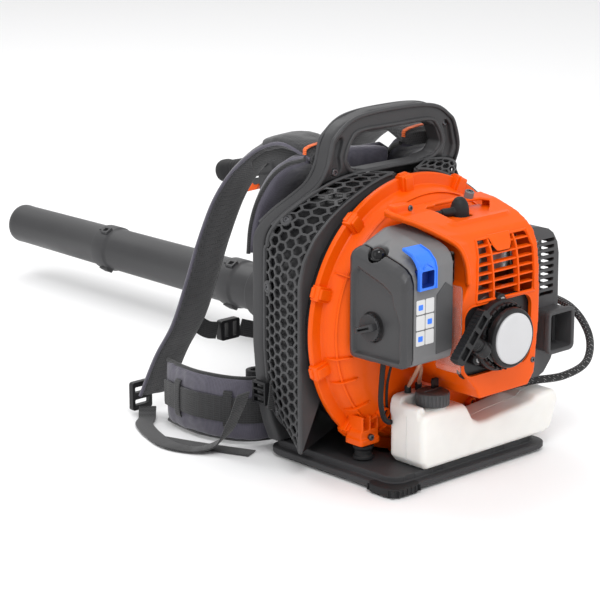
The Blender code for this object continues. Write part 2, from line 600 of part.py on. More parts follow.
def elbow():
    outer, inner = [], []
    steps = 5
    for i in range(steps + 1):
        turn = math.pi / 2 * i / steps
        centre = Vector((TUBE_X - ELBOW_BEND + ELBOW_BEND * math.sin(turn),
                         OUTLET_Y + ELBOW_BEND * (1 - math.cos(turn)), TUBE_Z))
        forward = Vector((math.cos(turn), math.sin(turn), 0.0))
        across = Vector((0.0, 0.0, 1.0))
        side = forward.cross(across)
        for rings, radius in ((outer, 0.041), (inner, 0.0365)):
            rings.append([centre + radius * (side * math.cos(math.tau * k / 16) + across * math.sin(math.tau * k / 16))
                          for k in range(16)])
    last = Vector((0.0, BELLOWS[0] - GAP - outer[-1][0].y, 0.0))
    outer.append([p + last for p in outer[-1]])
    inner.append([p + last for p in inner[-1]])
    loft("elbow", outer + inner[::-1], (DARK, 0.45, 0.0), closed=True, origin=(TUBE_X - ELBOW_BEND, OUTLET_Y, TUBE_Z))


def hollow_tube(name, outer, look, wall=0.0025, steps=20, origin=None):
    """Round tube along Y: (radius, y) stations of its outside, and an even wall."""
    profile = list(outer) + [(radius - wall, y) for radius, y in reversed(outer)]
    start = (TUBE_X, 0.0, TUBE_Z)
    return turned(name, profile, start, (0, 1, 0), look, steps, True, origin=origin or start)


def bellows():
    start, end = BELLOWS
    stations = [(0.0413, start), (0.0413, start + 0.014)]
    folds = 6
    pitch = (end - start - 0.028) / folds
    for i in range(folds):
        middle = start + 0.014 + pitch * (i + 0.5)
        stations += [(0.0375, middle - pitch * 0.30), (0.0440, middle + pitch * 0.20)]
    stations += [(0.0413, end - 0.014), (0.0413, end)]
    hollow_tube("bellows", stations, (BLACK, 0.6, 0.0), 0.0022, 16)
    for name, y in (("clamp_inner", start + 0.004), ("clamp_outer", end - 0.011)):
        centre = (TUBE_X, (start + end) / 2, TUBE_Z)
        along = y - centre[1]
        turned(name, ((0.0417, along), (0.0445, along), (0.0445, along + 0.007), (0.0417, along + 0.007)),
               centre, (0, 1, 0), (STEEL, 0.35, 1.0), 16, True)


def lugs(tube, y, radius):
    """Three bayonet lugs around the end of a tube."""
    pieces = []
    for i in range(3):
        lug = block("lug", (-0.006, y, radius - 0.003), (0.006, y + 0.014, radius + 0.004), None)
        turn = Matrix.Rotation(math.tau * i / 3 - 0.5, 4, "Y")
        lug.data.transform(Matrix.Translation((TUBE_X, 0, TUBE_Z)) @ turn)
        pieces.append(lug)
    unite(tube, joined("lugs", pieces))


def tubes():
    a, b, c, d = TUBE_JOINTS
    control = hollow_tube("control_tube", [(0.0405, a), (0.0405, a + 0.010), (TUBE_RADIUS, a + 0.014),
                                           (TUBE_RADIUS, b - 0.034), (0.0392, b - 0.030), (0.0392, b - GAP)],
                          (GREY, 0.42, 0.0))
    lugs(control, b - 0.030, 0.0392)
    middle = hollow_tube("middle_tube", [(0.0368, b), (0.0352, c - 0.034), (0.0376, c - 0.030), (0.0376, c - GAP)],
                         (GREY, 0.42, 0.0))
    lugs(middle, c - 0.030, 0.0376)
    hollow_tube("nozzle", [(0.0352, c), (0.0330, d - 0.012), (0.0318, d)], (GREY, 0.42, 0.0))


# Control handle

def tilt(point):
    """Point given along the grip (X across, Y along, Z up), placed at the tilted grip."""
    turn = Matrix.Rotation(GRIP_TILT, 3, "X")
    return GRIP_CENTRE + turn @ Vector(point)


def grip_loft(name, stations, look, steps=16, origin=(0, 0, 0)):
    """Oval sections along the grip: (y, half width, half height, z of the middle)."""
    rings = []
    for y, half_x, half_z, middle in stations:
        rings.append([tilt((half_x * math.cos(math.tau * k / steps), y, middle + half_z * math.sin(math.tau * k / steps)))
                      for k in range(steps)])
    return loft(name, rings, look, origin=origin)


def control_handle():
    ring = hollow_tube("handle_clamp", [(0.0450, 0.500), (0.0450, 0.530)], (GREY, 0.45, 0.0), 0.0076, 24,
                       (TUBE_X, 0.515, TUBE_Z))
    stem = [(0.5000, 0.130), (0.5290, 0.130), (0.5310, 0.190), (0.5310, 0.2800), (0.5040, 0.2860), (0.5000, 0.2000)]
    unite(ring, prism("stem", stem, "yz", TUBE_X - 0.009, TUBE_X + 0.009, None))
    head = grip_loft("head", [(-0.070, 0.013, 0.012, 0.002), (-0.066, 0.017, 0.016, 0.0), (-0.040, 0.018, 0.018, 0.0),
                              (-0.024, 0.017, 0.017, 0.0)], None)
    unite(ring, head)
    boss = [(-0.042, -0.010), (-0.0245, -0.010), (-0.0235, -0.030), (-0.036, -0.028)]
    unite(ring, loft("boss", [[tilt((x, y, z)) for y, z in boss] for x in (-0.0095, 0.0095)], None))
    ear = [(-0.030, -0.0178), (-0.008, -0.0178), (-0.006, -0.0240), (-0.010, -0.0286), (-0.030, -0.0272)]
    for inner, outer in ((-0.0091, -0.0066), (0.0066, 0.0091)):
        unite(ring, loft("ear", [[tilt((x, y, z)) for y, z in ear] for x in (inner, outer)], None))
    grip_loft("grip", [(-0.0235, 0.015, 0.016, 0.0), (0.040, 0.014, 0.0155, 0.0), (0.052, 0.0175, 0.0175, 0.0),
                       (0.066, 0.0175, 0.0175, 0.0), (0.070, 0.0155, 0.0155, 0.0)], (BLACK, 0.55, 0.0))
    pivot = tilt((0.0, -0.014, -0.0245))
    trigger = [(-0.018, -0.0205), (-0.006, -0.0205), (0.030, -0.0290), (0.034, -0.0330), (0.020, -0.0380),
               (-0.010, -0.0360), (-0.020, -0.0270)]
    rings = [[tilt((x, y, z)) for y, z in trigger] for x in (-0.006, 0.006)]
    loft("throttle_trigger", rings, (ORANGE, 0.4, 0.0), origin=pivot)
    lever = [(-0.060, 0.0), (-0.048, -0.004), (-0.044, 0.004), (-0.050, 0.018), (-0.056, 0.017)]
    rings = [[tilt((x, y, z)) for y, z in lever] for x in (-0.0230, -0.0190)]
    loft("cruise_lever", rings, (DARK, 0.45, 0.0), origin=tilt((-0.021, -0.052, 0.0)))
    switch = [(-0.052, 0.0192), (-0.036, 0.0192), (-0.036, 0.0212), (-0.044, 0.0226), (-0.052, 0.0212)]
    rings = [[tilt((x, y, z)) for y, z in switch] for x in (-0.005, 0.005)]
    loft("stop_switch", rings, (ORANGE, 0.4, 0.0), origin=tilt((0.0, -0.044, 0.0200)))


def conduit():
    route = [(0.212, 0.4990, 0.200), (0.212, 0.480, 0.198), (0.216, 0.420, 0.184), (0.224, 0.320, 0.166),
             (0.230, 0.220, 0.158), (0.236, 0.100, 0.166), (0.242, 0.000, 0.182), (0.247, -0.068, 0.176),
             (0.250, -0.104, 0.142), (0.234, -0.116, 0.107), (0.200, -0.104, 0.090), (0.155, -0.086, 0.0880),
             (0.105, -0.080, 0.0880), (0.060, -0.080, 0.0880), (0.040, -0.080, 0.0960), (0.038, -0.080, 0.1090),
             (0.038, -0.080, 0.1164)]
    cord("throttle_conduit", route, 0.0055, 38, (BLACK, 0.7, 0.0), 2)


# Harness

def back_pad():
    half = [(0.088, 0.112), (0.118, 0.118), (0.132, 0.140), (0.1340, 0.180), (0.1340, 0.262), (0.130, 0.292),
            (0.122, 0.325), (0.112, 0.358), (0.100, 0.386), (0.080, 0.398)]
    outline = half + [(-x, z) for x, z in half[::-1]]
    rings = []
    for y, scale in ((FRAME_BACK + GAP, 0.965), (FRAME_BACK + 0.006, 1.0), (FRAME_BACK + 0.018, 1.0),
                     (FRAME_BACK + 0.025, 0.94)):
        rings.append([(x * scale, y, 0.255 + (z - 0.255) * scale) for x, z in outline])
    loft("back_pad", rings, (FABRIC, 0.9, 0.0))


def straps():
    look = (BLACK, 0.9, 0.0)
    over = [(0.090, 0.072, 0.414), (0.095, 0.116, 0.428), (0.096, 0.150, 0.422), (0.097, 0.184, 0.404),
            (0.100, 0.222, 0.371), (0.106, 0.251, 0.328), (0.113, 0.275, 0.268), (0.120, 0.290, 0.216)]
    left = [(-x, y, z) for x, y, z in over] + [(-0.130, 0.311, 0.148), (-0.141, 0.338, 0.095), (-0.152, 0.362, 0.032)]
    right = over + [(0.122, 0.292, 0.150), (0.122, 0.288, 0.115)]
    ribbon("shoulder_strap_left", left, (1, 0.1, 0), 0.060, 0.016, look, 18)
    ribbon("shoulder_strap_right", right, (1, -0.1, 0), 0.060, 0.016, look, 16)
    wing = [(0.162, 0.318, 0.050), (0.170, 0.280, 0.051), (0.172, 0.230, 0.052), (0.152, 0.176, 0.052),
            (0.110, 0.1525, 0.052), (0.040, 0.1495, 0.052)]
    curled = [(0.040, 0.1495, 0.052), (0.110, 0.1525, 0.052), (0.146, 0.176, 0.052), (0.152, 0.225, 0.052),
              (0.142, 0.262, 0.051), (0.118, 0.278, 0.050), (0.090, 0.274, 0.050)]
    belt = [(-x, y, z) for x, y, z in wing] + curled
    ribbon("hip_belt", belt, (0, 0, 1), 0.092, 0.016, (FABRIC, 0.9, 0.0), 24)
    webbing = (BLACK, 0.8, 0.0)
    across = [(-0.104, 0.3345, 0.146), (-0.088, 0.3370, 0.128), (-0.071, 0.338, 0.117), (-0.0540, 0.338, 0.1125)]
    ribbon("sternum_strap_left", across, (0, 0, 1), 0.025, 0.0024, webbing, 8)
    block("sternum_buckle", (-0.0500, 0.3320, 0.096), (-0.014, 0.344, 0.126), (BLACK, 0.4, 0.0), 0.005)
    across = [(-0.0090, 0.338, 0.1090), (0.012, 0.3340, 0.1020), (0.034, 0.3240, 0.096), (0.062, 0.3100, 0.098),
              (0.090, 0.3040, 0.122)]
    ribbon("sternum_strap_right", across, (0, 0, 1), 0.025, 0.0024, webbing, 8)
    block("adjuster_buckle_left", (-0.178, 0.3800, 0.0060), (-0.142, 0.3890, 0.048), (BLACK, 0.4, 0.0), 0.004)
    loop = [(-0.160, 0.3690, 0.0120), (-0.168, 0.360, 0.0080), (-0.180, 0.346, 0.0042), (-0.198, 0.330, 0.0032),
            (-0.218, 0.286, 0.0032), (-0.230, 0.235, 0.0032), (-0.216, 0.194, 0.0034), (-0.194, 0.168, 0.018),
            (-0.188, 0.146, 0.056), (-0.186, 0.130, 0.092)]
    ribbon("adjuster_webbing_left", loop, None, 0.025, 0.0022, webbing, 22)


clear_scene()
base_plate()
back_frame()
grille("grille_left", 5.0, 150.0, -1, 26)
grille("grille_right", 5.0, 92.0, 1, 16)
rubber_mounts()
fan_housing_front()
fan_housing_rear()
impeller()
crank_train()
crankcase()
cylinder()
spark_plug()
engine_shroud()
starter()
starter_handle()
exhaust()
air_filter()
choke_lever()
carburettor()
fuel_tank()
fuel_lines()
elbow()
bellows()
tubes()
control_handle()
conduit()
back_pad()
straps()
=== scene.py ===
"""Backpack leaf blower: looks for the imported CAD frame."""
import math

import bmesh
import bpy
from mathutils import Matrix, Vector
from mathutils import noise as mnoise


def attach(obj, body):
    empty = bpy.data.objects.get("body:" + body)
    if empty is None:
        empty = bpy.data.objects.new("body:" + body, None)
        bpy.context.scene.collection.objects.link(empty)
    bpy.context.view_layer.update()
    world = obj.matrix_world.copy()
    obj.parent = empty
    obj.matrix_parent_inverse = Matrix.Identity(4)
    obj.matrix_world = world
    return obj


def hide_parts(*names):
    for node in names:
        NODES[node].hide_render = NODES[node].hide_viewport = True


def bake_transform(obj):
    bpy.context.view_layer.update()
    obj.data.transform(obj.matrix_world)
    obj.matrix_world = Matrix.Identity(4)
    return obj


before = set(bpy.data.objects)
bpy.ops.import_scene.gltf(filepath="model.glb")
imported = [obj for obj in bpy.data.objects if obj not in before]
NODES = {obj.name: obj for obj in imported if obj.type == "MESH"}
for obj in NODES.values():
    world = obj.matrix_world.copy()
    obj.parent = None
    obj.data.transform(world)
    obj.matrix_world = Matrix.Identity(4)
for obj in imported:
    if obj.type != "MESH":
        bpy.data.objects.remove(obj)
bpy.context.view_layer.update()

CRANK_HEIGHT = 0.2
CRANK = Vector((0.0, 0.0, CRANK_HEIGHT))
TUBE = Vector((0.212, 0.0, 0.088))
ROPE = Vector((-0.755, 0.0, 0.656)).normalized()
ROPE_START = Vector((-ROPE.z * 0.038, -0.178, CRANK.z + ROPE.x * 0.038))
GRIP_CENTRE = Vector((0.212, 0.561, 0.2835))
GRIP_TURN = Matrix.Rotation(math.radians(-14.0), 3, "X")
PRIMER = (-0.1485, -0.088)          # x and y of the purge bulb's centre
KNOB = (-0.086, 0.224)              # y and z of the filter knob's axis
PANEL_RING = 0.190                  # radius of the honeycomb panels' front edge
PANEL_BORDER = 0.0062               # plain margin round the honeycomb cells
CONDUIT_RADIUS = 0.0055


# ---------------------------------------------------------------- materials

def new_material(name, colour, rough, metallic=0.0):
    mat = bpy.data.materials.new(name)
    mat.use_nodes = True
    shader = mat.node_tree.nodes["Principled BSDF"]
    shader.inputs["Base Color"].default_value = (*colour, 1.0)
    shader.inputs["Roughness"].default_value = rough
    shader.inputs["Metallic"].default_value = metallic
    return mat, mat.node_tree, shader


def link(tree, a, out, b, into):
    """Join one node's output to another node's input."""
    tree.links.new(a.outputs[out], b.inputs[into])


def add(tree, kind, **inputs):
    """New node with its inputs set."""
    node = tree.nodes.new(kind)
    for key, value in inputs.items():
        node.inputs[key.replace("_", " ")].default_value = value
    return node


def maths(tree, operation, first, second=None, value=None):
    """Math node on one or two values."""
    node = tree.nodes.new("ShaderNodeMath")
    node.operation = operation
    tree.links.new(first, node.inputs[0])
    if second is not None:
        tree.links.new(second, node.inputs[1])
    if value is not None:
        node.inputs[1].default_value = value
    return node.outputs[0]


def spread(tree, source, low, high, to_low, to_high):
    """Map a range of a value on to another."""
    node = tree.nodes.new("ShaderNodeMapRange")
    tree.links.new(source, node.inputs["Value"])
    for key, value in (("From Min", low), ("From Max", high), ("To Min", to_low), ("To Max", to_high)):
        node.inputs[key].default_value = value
    return node.outputs["Result"]


def blend_colour(tree, factor, first, second):
    """Mix two colours by a factor."""
    node = tree.nodes.new("ShaderNodeMix")
    node.data_type = "RGBA"
    tree.links.new(factor, node.inputs["Factor"])
    for key, value in ((6, first), (7, second)):
        if isinstance(value, tuple):
            node.inputs[key].default_value = (*value, 1.0)
        else:
            tree.links.new(value, node.inputs[key])
    return node.outputs[2]


def bump(tree, shader, height, strength, distance):
    """Surface relief from a height."""
    node = add(tree, "ShaderNodeBump", Strength=strength, Distance=distance)
    tree.links.new(height, node.inputs["Height"])
    link(tree, node, "Normal", shader, "Normal")


def tint(colour, factor):
    """Colour made lighter or darker."""
    return tuple(min(1.0, c * factor) for c in colour)


def plastic(name, colour, rough, grain=0.25, scale=1500.0, vary=0.1, edge=1.6, gloss=0.3):
    """Moulded plastic: spark-eroded grain, faint mottling, and edges lightened as a painted highlight."""
    mat, tree, shader = new_material(name, colour, rough)
    shader.inputs["Specular IOR Level"].default_value = gloss
    coords = tree.nodes.new("ShaderNodeTexCoord")
    cloud = add(tree, "ShaderNodeTexNoise", Scale=14.0, Detail=5.0, Roughness=0.6)
    link(tree, coords, "Object", cloud, "Vector")
    fine = add(tree, "ShaderNodeTexNoise", Scale=scale, Detail=2.0)
    link(tree, coords, "Object", fine, "Vector")
    shape = tree.nodes.new("ShaderNodeNewGeometry")
    # painted highlight: edges that stick out (high pointiness) are lightened by the edge factor, in patches set by
    # the cloud
    painted_edge_highlight = spread(tree, shape.outputs["Pointiness"], 0.51, 0.6, 0.0, 1.0)
    painted_edge_highlight = maths(tree, "MULTIPLY", painted_edge_highlight, spread(tree, cloud.outputs["Fac"], 0.4, 0.7, 0.25, 1.0))
    base = blend_colour(tree, spread(tree, cloud.outputs["Fac"], 0.3, 0.7, 0.0, 1.0), tint(colour, 1 - vary),
        tint(colour, 1 + vary))
    tree.links.new(blend_colour(tree, painted_edge_highlight, base, tint(colour, edge)), shader.inputs["Base Color"])
    tree.links.new(spread(tree, cloud.outputs["Fac"], 0.3, 0.7, rough - 0.05, rough + 0.07),
        shader.inputs["Roughness"])
    bump(tree, shader, fine.outputs["Fac"], grain, 0.00012)
    return mat


def metal(name, colour, rough, cast=False):
    """Plain or cast metal with faint wear."""
    mat, tree, shader = new_material(name, colour, rough, 1.0)
    coords = tree.nodes.new("ShaderNodeTexCoord")
    noise = add(tree, "ShaderNodeTexNoise", Scale=900.0 if cast else 260.0, Detail=4.0)
    link(tree, coords, "Object", noise, "Vector")
    cloud = add(tree, "ShaderNodeTexNoise", Scale=25.0, Detail=4.0)
    link(tree, coords, "Object", cloud, "Vector")
    mix = blend_colour(tree, spread(tree, cloud.outputs["Fac"], 0.3, 0.7, 0.0, 1.0), tint(colour, 0.75), colour)
    tree.links.new(mix, shader.inputs["Base Color"])
    tree.links.new(spread(tree, noise.outputs["Fac"], 0.3, 0.7, rough - 0.08, rough + 0.12),
        shader.inputs["Roughness"])
    bump(tree, shader, noise.outputs["Fac"], 0.35 if cast else 0.12, 0.0002)
    return mat


def weave(name, colour, accent, pitch=0.0013, strength=0.7, rough=0.85, sheen=0.3, spacer=False):
    """Woven cloth from two crossed waves; a spacer mesh has small dark pores instead."""
    mat, tree, shader = new_material(name, colour, rough)
    coords = tree.nodes.new("ShaderNodeTexCoord")
    cloud = add(tree, "ShaderNodeTexNoise", Scale=22.0, Detail=6.0, Roughness=0.65)
    link(tree, coords, "Object", cloud, "Vector")
    if spacer:
        cell = tree.nodes.new("ShaderNodeTexVoronoi")
        cell.inputs["Scale"].default_value = 1 / (pitch * 2.2)
        cell.inputs["Randomness"].default_value = 0.25
        link(tree, coords, "Object", cell, "Vector")
        height = spread(tree, cell.outputs["Distance"], 0.12, 0.5, 0.0, 1.0)
    else:
        waves = []
        for direction in ("X", "Y", "Z"):
            wave = add(tree, "ShaderNodeTexWave", Scale=1 / (pitch * 6.0), Distortion=1.2, Detail=1.0)
            wave.bands_direction = direction
            link(tree, coords, "Object", wave, "Vector")
            waves.append(wave.outputs["Fac"])
        height = maths(tree, "MAXIMUM", maths(tree, "MULTIPLY", waves[0], waves[1]), waves[2])
    base = blend_colour(tree, height, tint(colour, 0.55), accent)
    shade = blend_colour(tree, spread(tree, cloud.outputs["Fac"], 0.3, 0.75, 0.0, 0.5), base, tint(colour, 0.7))
    tree.links.new(shade, shader.inputs["Base Color"])
    shader.inputs["Sheen Weight"].default_value = sheen
    shader.inputs["Sheen Roughness"].default_value = 0.5
    bump(tree, shader, height, strength, 0.0004)
    return mat


def braid(name):
    """Black braided sleeve with pale flecks along it."""
    mat, tree, shader = new_material(name, (0.012, 0.012, 0.013), 0.6)
    coords = tree.nodes.new("ShaderNodeTexCoord")
    waves = []
    for turn in (0.7, -0.7):
        place = tree.nodes.new("ShaderNodeMapping")
        place.inputs["Rotation"].default_value = (turn, turn, turn)
        link(tree, coords, "Object", place, "Vector")
        wave = add(tree, "ShaderNodeTexWave", Scale=110.0)
        link(tree, place, "Vector", wave, "Vector")
        waves.append(wave.outputs["Fac"])
    height = maths(tree, "MULTIPLY", waves[0], waves[1])
    fleck = spread(tree, height, 0.72, 0.86, 0.0, 1.0)
    tree.links.new(blend_colour(tree, fleck, (0.012, 0.012, 0.013), (0.3, 0.3, 0.3)), shader.inputs["Base Color"])
    bump(tree, shader, height, 0.8, 0.0006)
    return mat


def clear(name, colour, rough, transmission, ior=1.45, milky=0.0):
    """Clear or milky plastic."""
    mat, tree, shader = new_material(name, colour, rough)
    shader.inputs["Transmission Weight"].default_value = transmission
    shader.inputs["IOR"].default_value = ior
    if milky:
        shader.inputs["Subsurface Weight"].default_value = milky
        shader.inputs["Subsurface Radius"].default_value = (0.012, 0.011, 0.009)
        shader.inputs["Subsurface Scale"].default_value = 1.0
    coords = tree.nodes.new("ShaderNodeTexCoord")
    cloud = add(tree, "ShaderNodeTexNoise", Scale=18.0, Detail=3.0)
    link(tree, coords, "Object", cloud, "Vector")
    tree.links.new(blend_colour(tree, spread(tree, cloud.outputs["Fac"], 0.3, 0.7, 0.0, 1.0), tint(colour, 0.95),
        tint(colour, 1.03)), shader.inputs["Base Color"])
    fine = add(tree, "ShaderNodeTexNoise", Scale=300.0, Detail=2.0)
    link(tree, coords, "Object", fine, "Vector")
    tree.links.new(spread(tree, fine.outputs["Fac"], 0.3, 0.7, rough - 0.04, rough + 0.04),
        shader.inputs["Roughness"])
    bump(tree, shader, fine.outputs["Fac"], 0.06, 0.0002)
    return mat


# edge is how much each plastic's edges are lightened as a painted highlight
M = {"orange": plastic("orange_moulding", (0.78, 0.092, 0.001), 0.34, 0.1, vary=0.05, edge=1.12, gloss=0.18),
    "dark": plastic("dark_moulding", (0.034, 0.034, 0.036), 0.52, 0.4),
    "frame": plastic("frame_moulding", (0.04, 0.04, 0.042), 0.44, 0.45, edge=1.8),
    "panel": plastic("panel_moulding", (0.048, 0.048, 0.05), 0.44, 0.4),
    "mid": plastic("mid_grey_moulding", (0.15, 0.15, 0.153), 0.4, 0.3, edge=1.25),
    "cover": plastic("cover_moulding", (0.05, 0.05, 0.052), 0.4, 0.35),
    "guard": plastic("guard_moulding", (0.052, 0.052, 0.054), 0.48, 0.4),
    "tube": plastic("tube_moulding", (0.04, 0.04, 0.042), 0.36, 0.2, edge=1.4),
    "black": plastic("black_moulding", (0.01, 0.01, 0.011), 0.36, 0.3, edge=2.2),
    "blue": plastic("blue_moulding", (0.04, 0.19, 0.83), 0.36, 0.12, vary=0.05, edge=1.2),
    # darker copy of the blue plastic: painted shade for the hollow under the choke lever
    "painted_shade_blue": plastic("blue_painted_shade", (0.006, 0.03, 0.23), 0.5, 0.12, vary=0.05, edge=1.2),
    "disc": plastic("disc_moulding", (0.56, 0.56, 0.57), 0.38, 0.1, vary=0.03, edge=1.1),
    "label": plastic("blank_label", (0.62, 0.62, 0.62), 0.45, 0.02, vary=0.02, edge=1.0),
    "rubber": plastic("black_rubber", (0.011, 0.011, 0.012), 0.6, 0.6, scale=700.0),
    "gloss": plastic("glossy_rubber", (0.008, 0.008, 0.009), 0.12, 0.03),
    "alloy": metal("cast_alloy", (0.48, 0.48, 0.47), 0.45, True), "steel": metal("plain_steel", (0.5, 0.5, 0.5),
    0.32), "screw": metal("screw_steel", (0.14, 0.14, 0.15), 0.35), "pad": weave("pad_cloth", (0.06, 0.055, 0.08),
    (0.098, 0.09, 0.126), 0.0009, 0.45, 0.62, 0.35), "mesh": weave("spacer_mesh", (0.013, 0.013, 0.014),
    (0.04, 0.04, 0.043), 0.0016, 0.9, spacer=True), "webbing": weave("webbing_weave", (0.012, 0.012, 0.013),
    (0.028, 0.028, 0.03), 0.0016, 0.8), "accent": weave("orange_webbing", (0.8, 0.11, 0.008), (0.92, 0.16, 0.014),
    0.0014, 0.6), "paper": weave("filter_paper", (0.62, 0.55, 0.4), (0.75, 0.7, 0.55), 0.002, 0.5, sheen=0.0),
    "tank": clear("milky_tank", (0.8, 0.79, 0.76), 0.33, 0.0, milky=0.3),
    "hose": clear("amber_hose", (0.66, 0.42, 0.3), 0.16, 0.55, 1.42), "shield": clear("clear_shield",
    (0.95, 0.94, 0.93), 0.08, 0.93, 1.3), "braid": braid("braided_sleeve"),}


# ------------------------------------------------------------------ helpers

def put(name, mesh, mat):
    """Object from a mesh, in the scene."""
    thing = bpy.data.objects.new(name, mesh)
    bpy.context.scene.collection.objects.link(thing)
    if mat:
        mesh.materials.clear()
        mesh.materials.append(M[mat])
    return thing


def raw(name, points, faces, mat=None):
    """Object from points and faces."""
    mesh = bpy.data.meshes.new(name)
    mesh.from_pydata([tuple(p) for p in points], [], faces)
    body = bmesh.new()
    body.from_mesh(mesh)
    bmesh.ops.recalc_face_normals(body, faces=body.faces)
    body.to_mesh(mesh)
    body.free()
    return put(name, mesh, mat)


def soften(thing, width=0.0, segments=2, angle=32.0):
    """Shade smooth with sharp creases kept, and round the edges."""
    thing.data.shade_smooth()
    if width > 0:
        step = thing.modifiers.new("round", "BEVEL")
        step.width = width
        step.segments = segments
        step.limit_method = "ANGLE"
        step.angle_limit = math.radians(angle)
        step.harden_normals = True
        step.use_clamp_overlap = True
    else:
        thing.data.set_sharp_from_angle(angle=math.radians(angle))
    return thing


def bake(thing):
    """Apply the modifiers."""
    bpy.context.view_layer.update()
    graph = bpy.context.evaluated_depsgraph_get()
    mesh = bpy.data.meshes.new_from_object(thing.evaluated_get(graph))
    old = thing.data
    thing.modifiers.clear()
    thing.data = mesh
    if old.users == 0:
        bpy.data.meshes.remove(old)
    return thing


def finish(thing, body="frame", slot=None, *nodes):
    """Ride on a body and hide the CAD nodes it stands for; the slot is not used."""
    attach(thing, body)
    if nodes:
        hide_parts(*nodes)
    return thing


def loft(name, rings, mat=None, closed=False, caps=True):
    """Skin over rings of equally many points."""
    size = len(rings[0])
    points = [p for ring in rings for p in ring]
    faces = []
    for row in range(len(rings) if closed else len(rings) - 1):
        this, following = row * size, ((row + 1) % len(rings)) * size
        for i in range(size):
            j = (i + 1) % size
            faces.append((this + i, this + j, following + j, following + i))
    if not closed and caps:
        faces.append(tuple(range(size)))
        faces.append(tuple((len(rings) - 1) * size + i for i in range(size)))
    return raw(name, points, faces, mat)


def lift(point, plane, level):
    a, b = point
    return {"xy": (a, b, level), "xz": (a, level, b), "yz": (level, a, b)}[plane]


def prism(name, outline, plane, start, end, mat=None):
    return loft(name, [[lift(p, plane, level) for p in outline] for level in (start, end)], mat)


def rounded(centre, size, radius, steps=4):
    points = []
    for quarter, (sx, sy) in enumerate(((1, 1), (-1, 1), (-1, -1), (1, -1))):
        cx = centre[0] + sx * (size[0] / 2 - radius)
        cy = centre[1] + sy * (size[1] / 2 - radius)
        for i in range(steps + 1):
            angle = math.pi / 2 * (quarter + i / steps)
            points.append((cx + radius * math.cos(angle), cy + radius * math.sin(angle)))
    return points


def block(name, low, high, mat=None, radius=0.0, plane="xz", steps=4):
    """Box with rounded corners in one plane."""
    first, second, third = {"xz": (0, 2, 1), "xy": (0, 1, 2), "yz": (1, 2, 0)}[plane]
    centre = ((low[first] + high[first]) / 2, (low[second] + high[second]) / 2)
    size = (high[first] - low[first], high[second] - low[second])
    if radius > 0:
        outline = rounded(centre, size, radius, steps)
    else:
        outline = [(centre[0] + sx * size[0] / 2, centre[1] + sy * size[1] / 2)
            for sx, sy in ((1, 1), (-1, 1), (-1, -1), (1, -1))]
    return prism(name, outline, plane, low[third], high[third], mat)


def circle(centre, radius, direction, steps):
    axis = Vector(direction).normalized()
    side = axis.orthogonal().normalized()
    up = axis.cross(side)
    return [Vector(centre) + radius * (side * math.cos(math.tau * i / steps) + up
            * math.sin(math.tau * i / steps)) for i in range(steps)]


def turned(name, profile, centre, direction, mat=None, steps=48, hollow=False):
    axis = Vector(direction).normalized()
    rings = [circle(Vector(centre) + axis * along, radius, axis, steps) for radius, along in profile]
    return loft(name, rings, mat, closed=hollow)


def smooth(route, count):
    ways = [Vector(p) for p in route]
    ways = [ways[0] * 2 - ways[1]] + ways + [ways[-1] * 2 - ways[-2]]
    spans = len(ways) - 3
    points = []
    for i in range(count):
        place = spans * i / (count - 1)
        span = min(int(place), spans - 1)
        t = place - span
        a, b, c, d = ways[span:span + 4]
        points.append(0.5 * ((b * 2) + (c - a) * t + (a * 2 - b * 5 + c * 4 - d) * t ** 2
            + (b * 3 - a - c * 3 + d) * t ** 3))
    return points


def pipe(name, route, radius, mat, count=60, sides=14, closed=False):
    """Round pipe along a route, with a frame carried along it; radius may be a function of 0..1."""
    points = smooth(route, count) if count else [Vector(p) for p in route]
    total = len(points)
    normal = None
    rings = []
    for i, point in enumerate(points):
        ahead = points[(i + 1) % total] if closed else points[min(i + 1, total - 1)]
        behind = points[i - 1] if closed or i else points[0]
        tangent = (ahead - behind).normalized()
        normal = tangent.orthogonal().normalized() if normal is None else (normal - tangent
            * normal.dot(tangent)).normalized()
        across = tangent.cross(normal)
        r = radius(i / (total - 1)) if callable(radius) else radius
        rings.append([point + r * (normal * math.cos(math.tau * k / sides) + across
            * math.sin(math.tau * k / sides)) for k in range(sides)])
    thing = loft(name, rings, mat, closed=closed)
    thing.data.shade_smooth()
    thing.data.set_sharp_from_angle(angle=math.radians(50))
    return thing


def strap(name, route, side, section, mat, count=60):
    """Loft a flat section (across, out) along a route; section may depend on 0..1 along it."""
    points = smooth(route, count)
    rings = []
    for i, point in enumerate(points):
        tangent = (points[min(i + 1, count - 1)] - points[max(i - 1, 0)]).normalized()
        where = i / (count - 1)
        across = Vector(side(where)) if callable(side) else (Vector(side) if side
            else tangent.cross(Vector((0, 0, 1))))
        across = (across - tangent * across.dot(tangent)).normalized()
        normal = tangent.cross(across)
        shape = section(where) if callable(section) else section
        rings.append([point + across * a + normal * b for a, b in shape])
    return loft(name, rings, mat)


def band(width, thickness, steps=3):
    """Flat section with rounded edges."""
    return rounded((0.0, 0.0), (width, thickness), min(thickness, width) * 0.42, steps)


def merged(name, things, mat=None):
    """Several pieces as one mesh object."""
    body = bmesh.new()
    for thing in things:
        bake(thing) if thing.modifiers else None
        thing.data.transform(thing.matrix_world)
        body.from_mesh(thing.data)
        bpy.data.objects.remove(thing, do_unlink=True)
    mesh = bpy.data.meshes.new(name)
    body.to_mesh(mesh)
    body.free()
    return put(name, mesh, mat)


def boolean(thing, tool, operation="DIFFERENCE"):
    """Cut or join, and apply it."""
    step = thing.modifiers.new("boolean", "BOOLEAN")
    step.operation = operation
    step.solver = "EXACT"
    step.object = tool
    bake(thing)
    bpy.data.objects.remove(tool, do_unlink=True)
    return thing


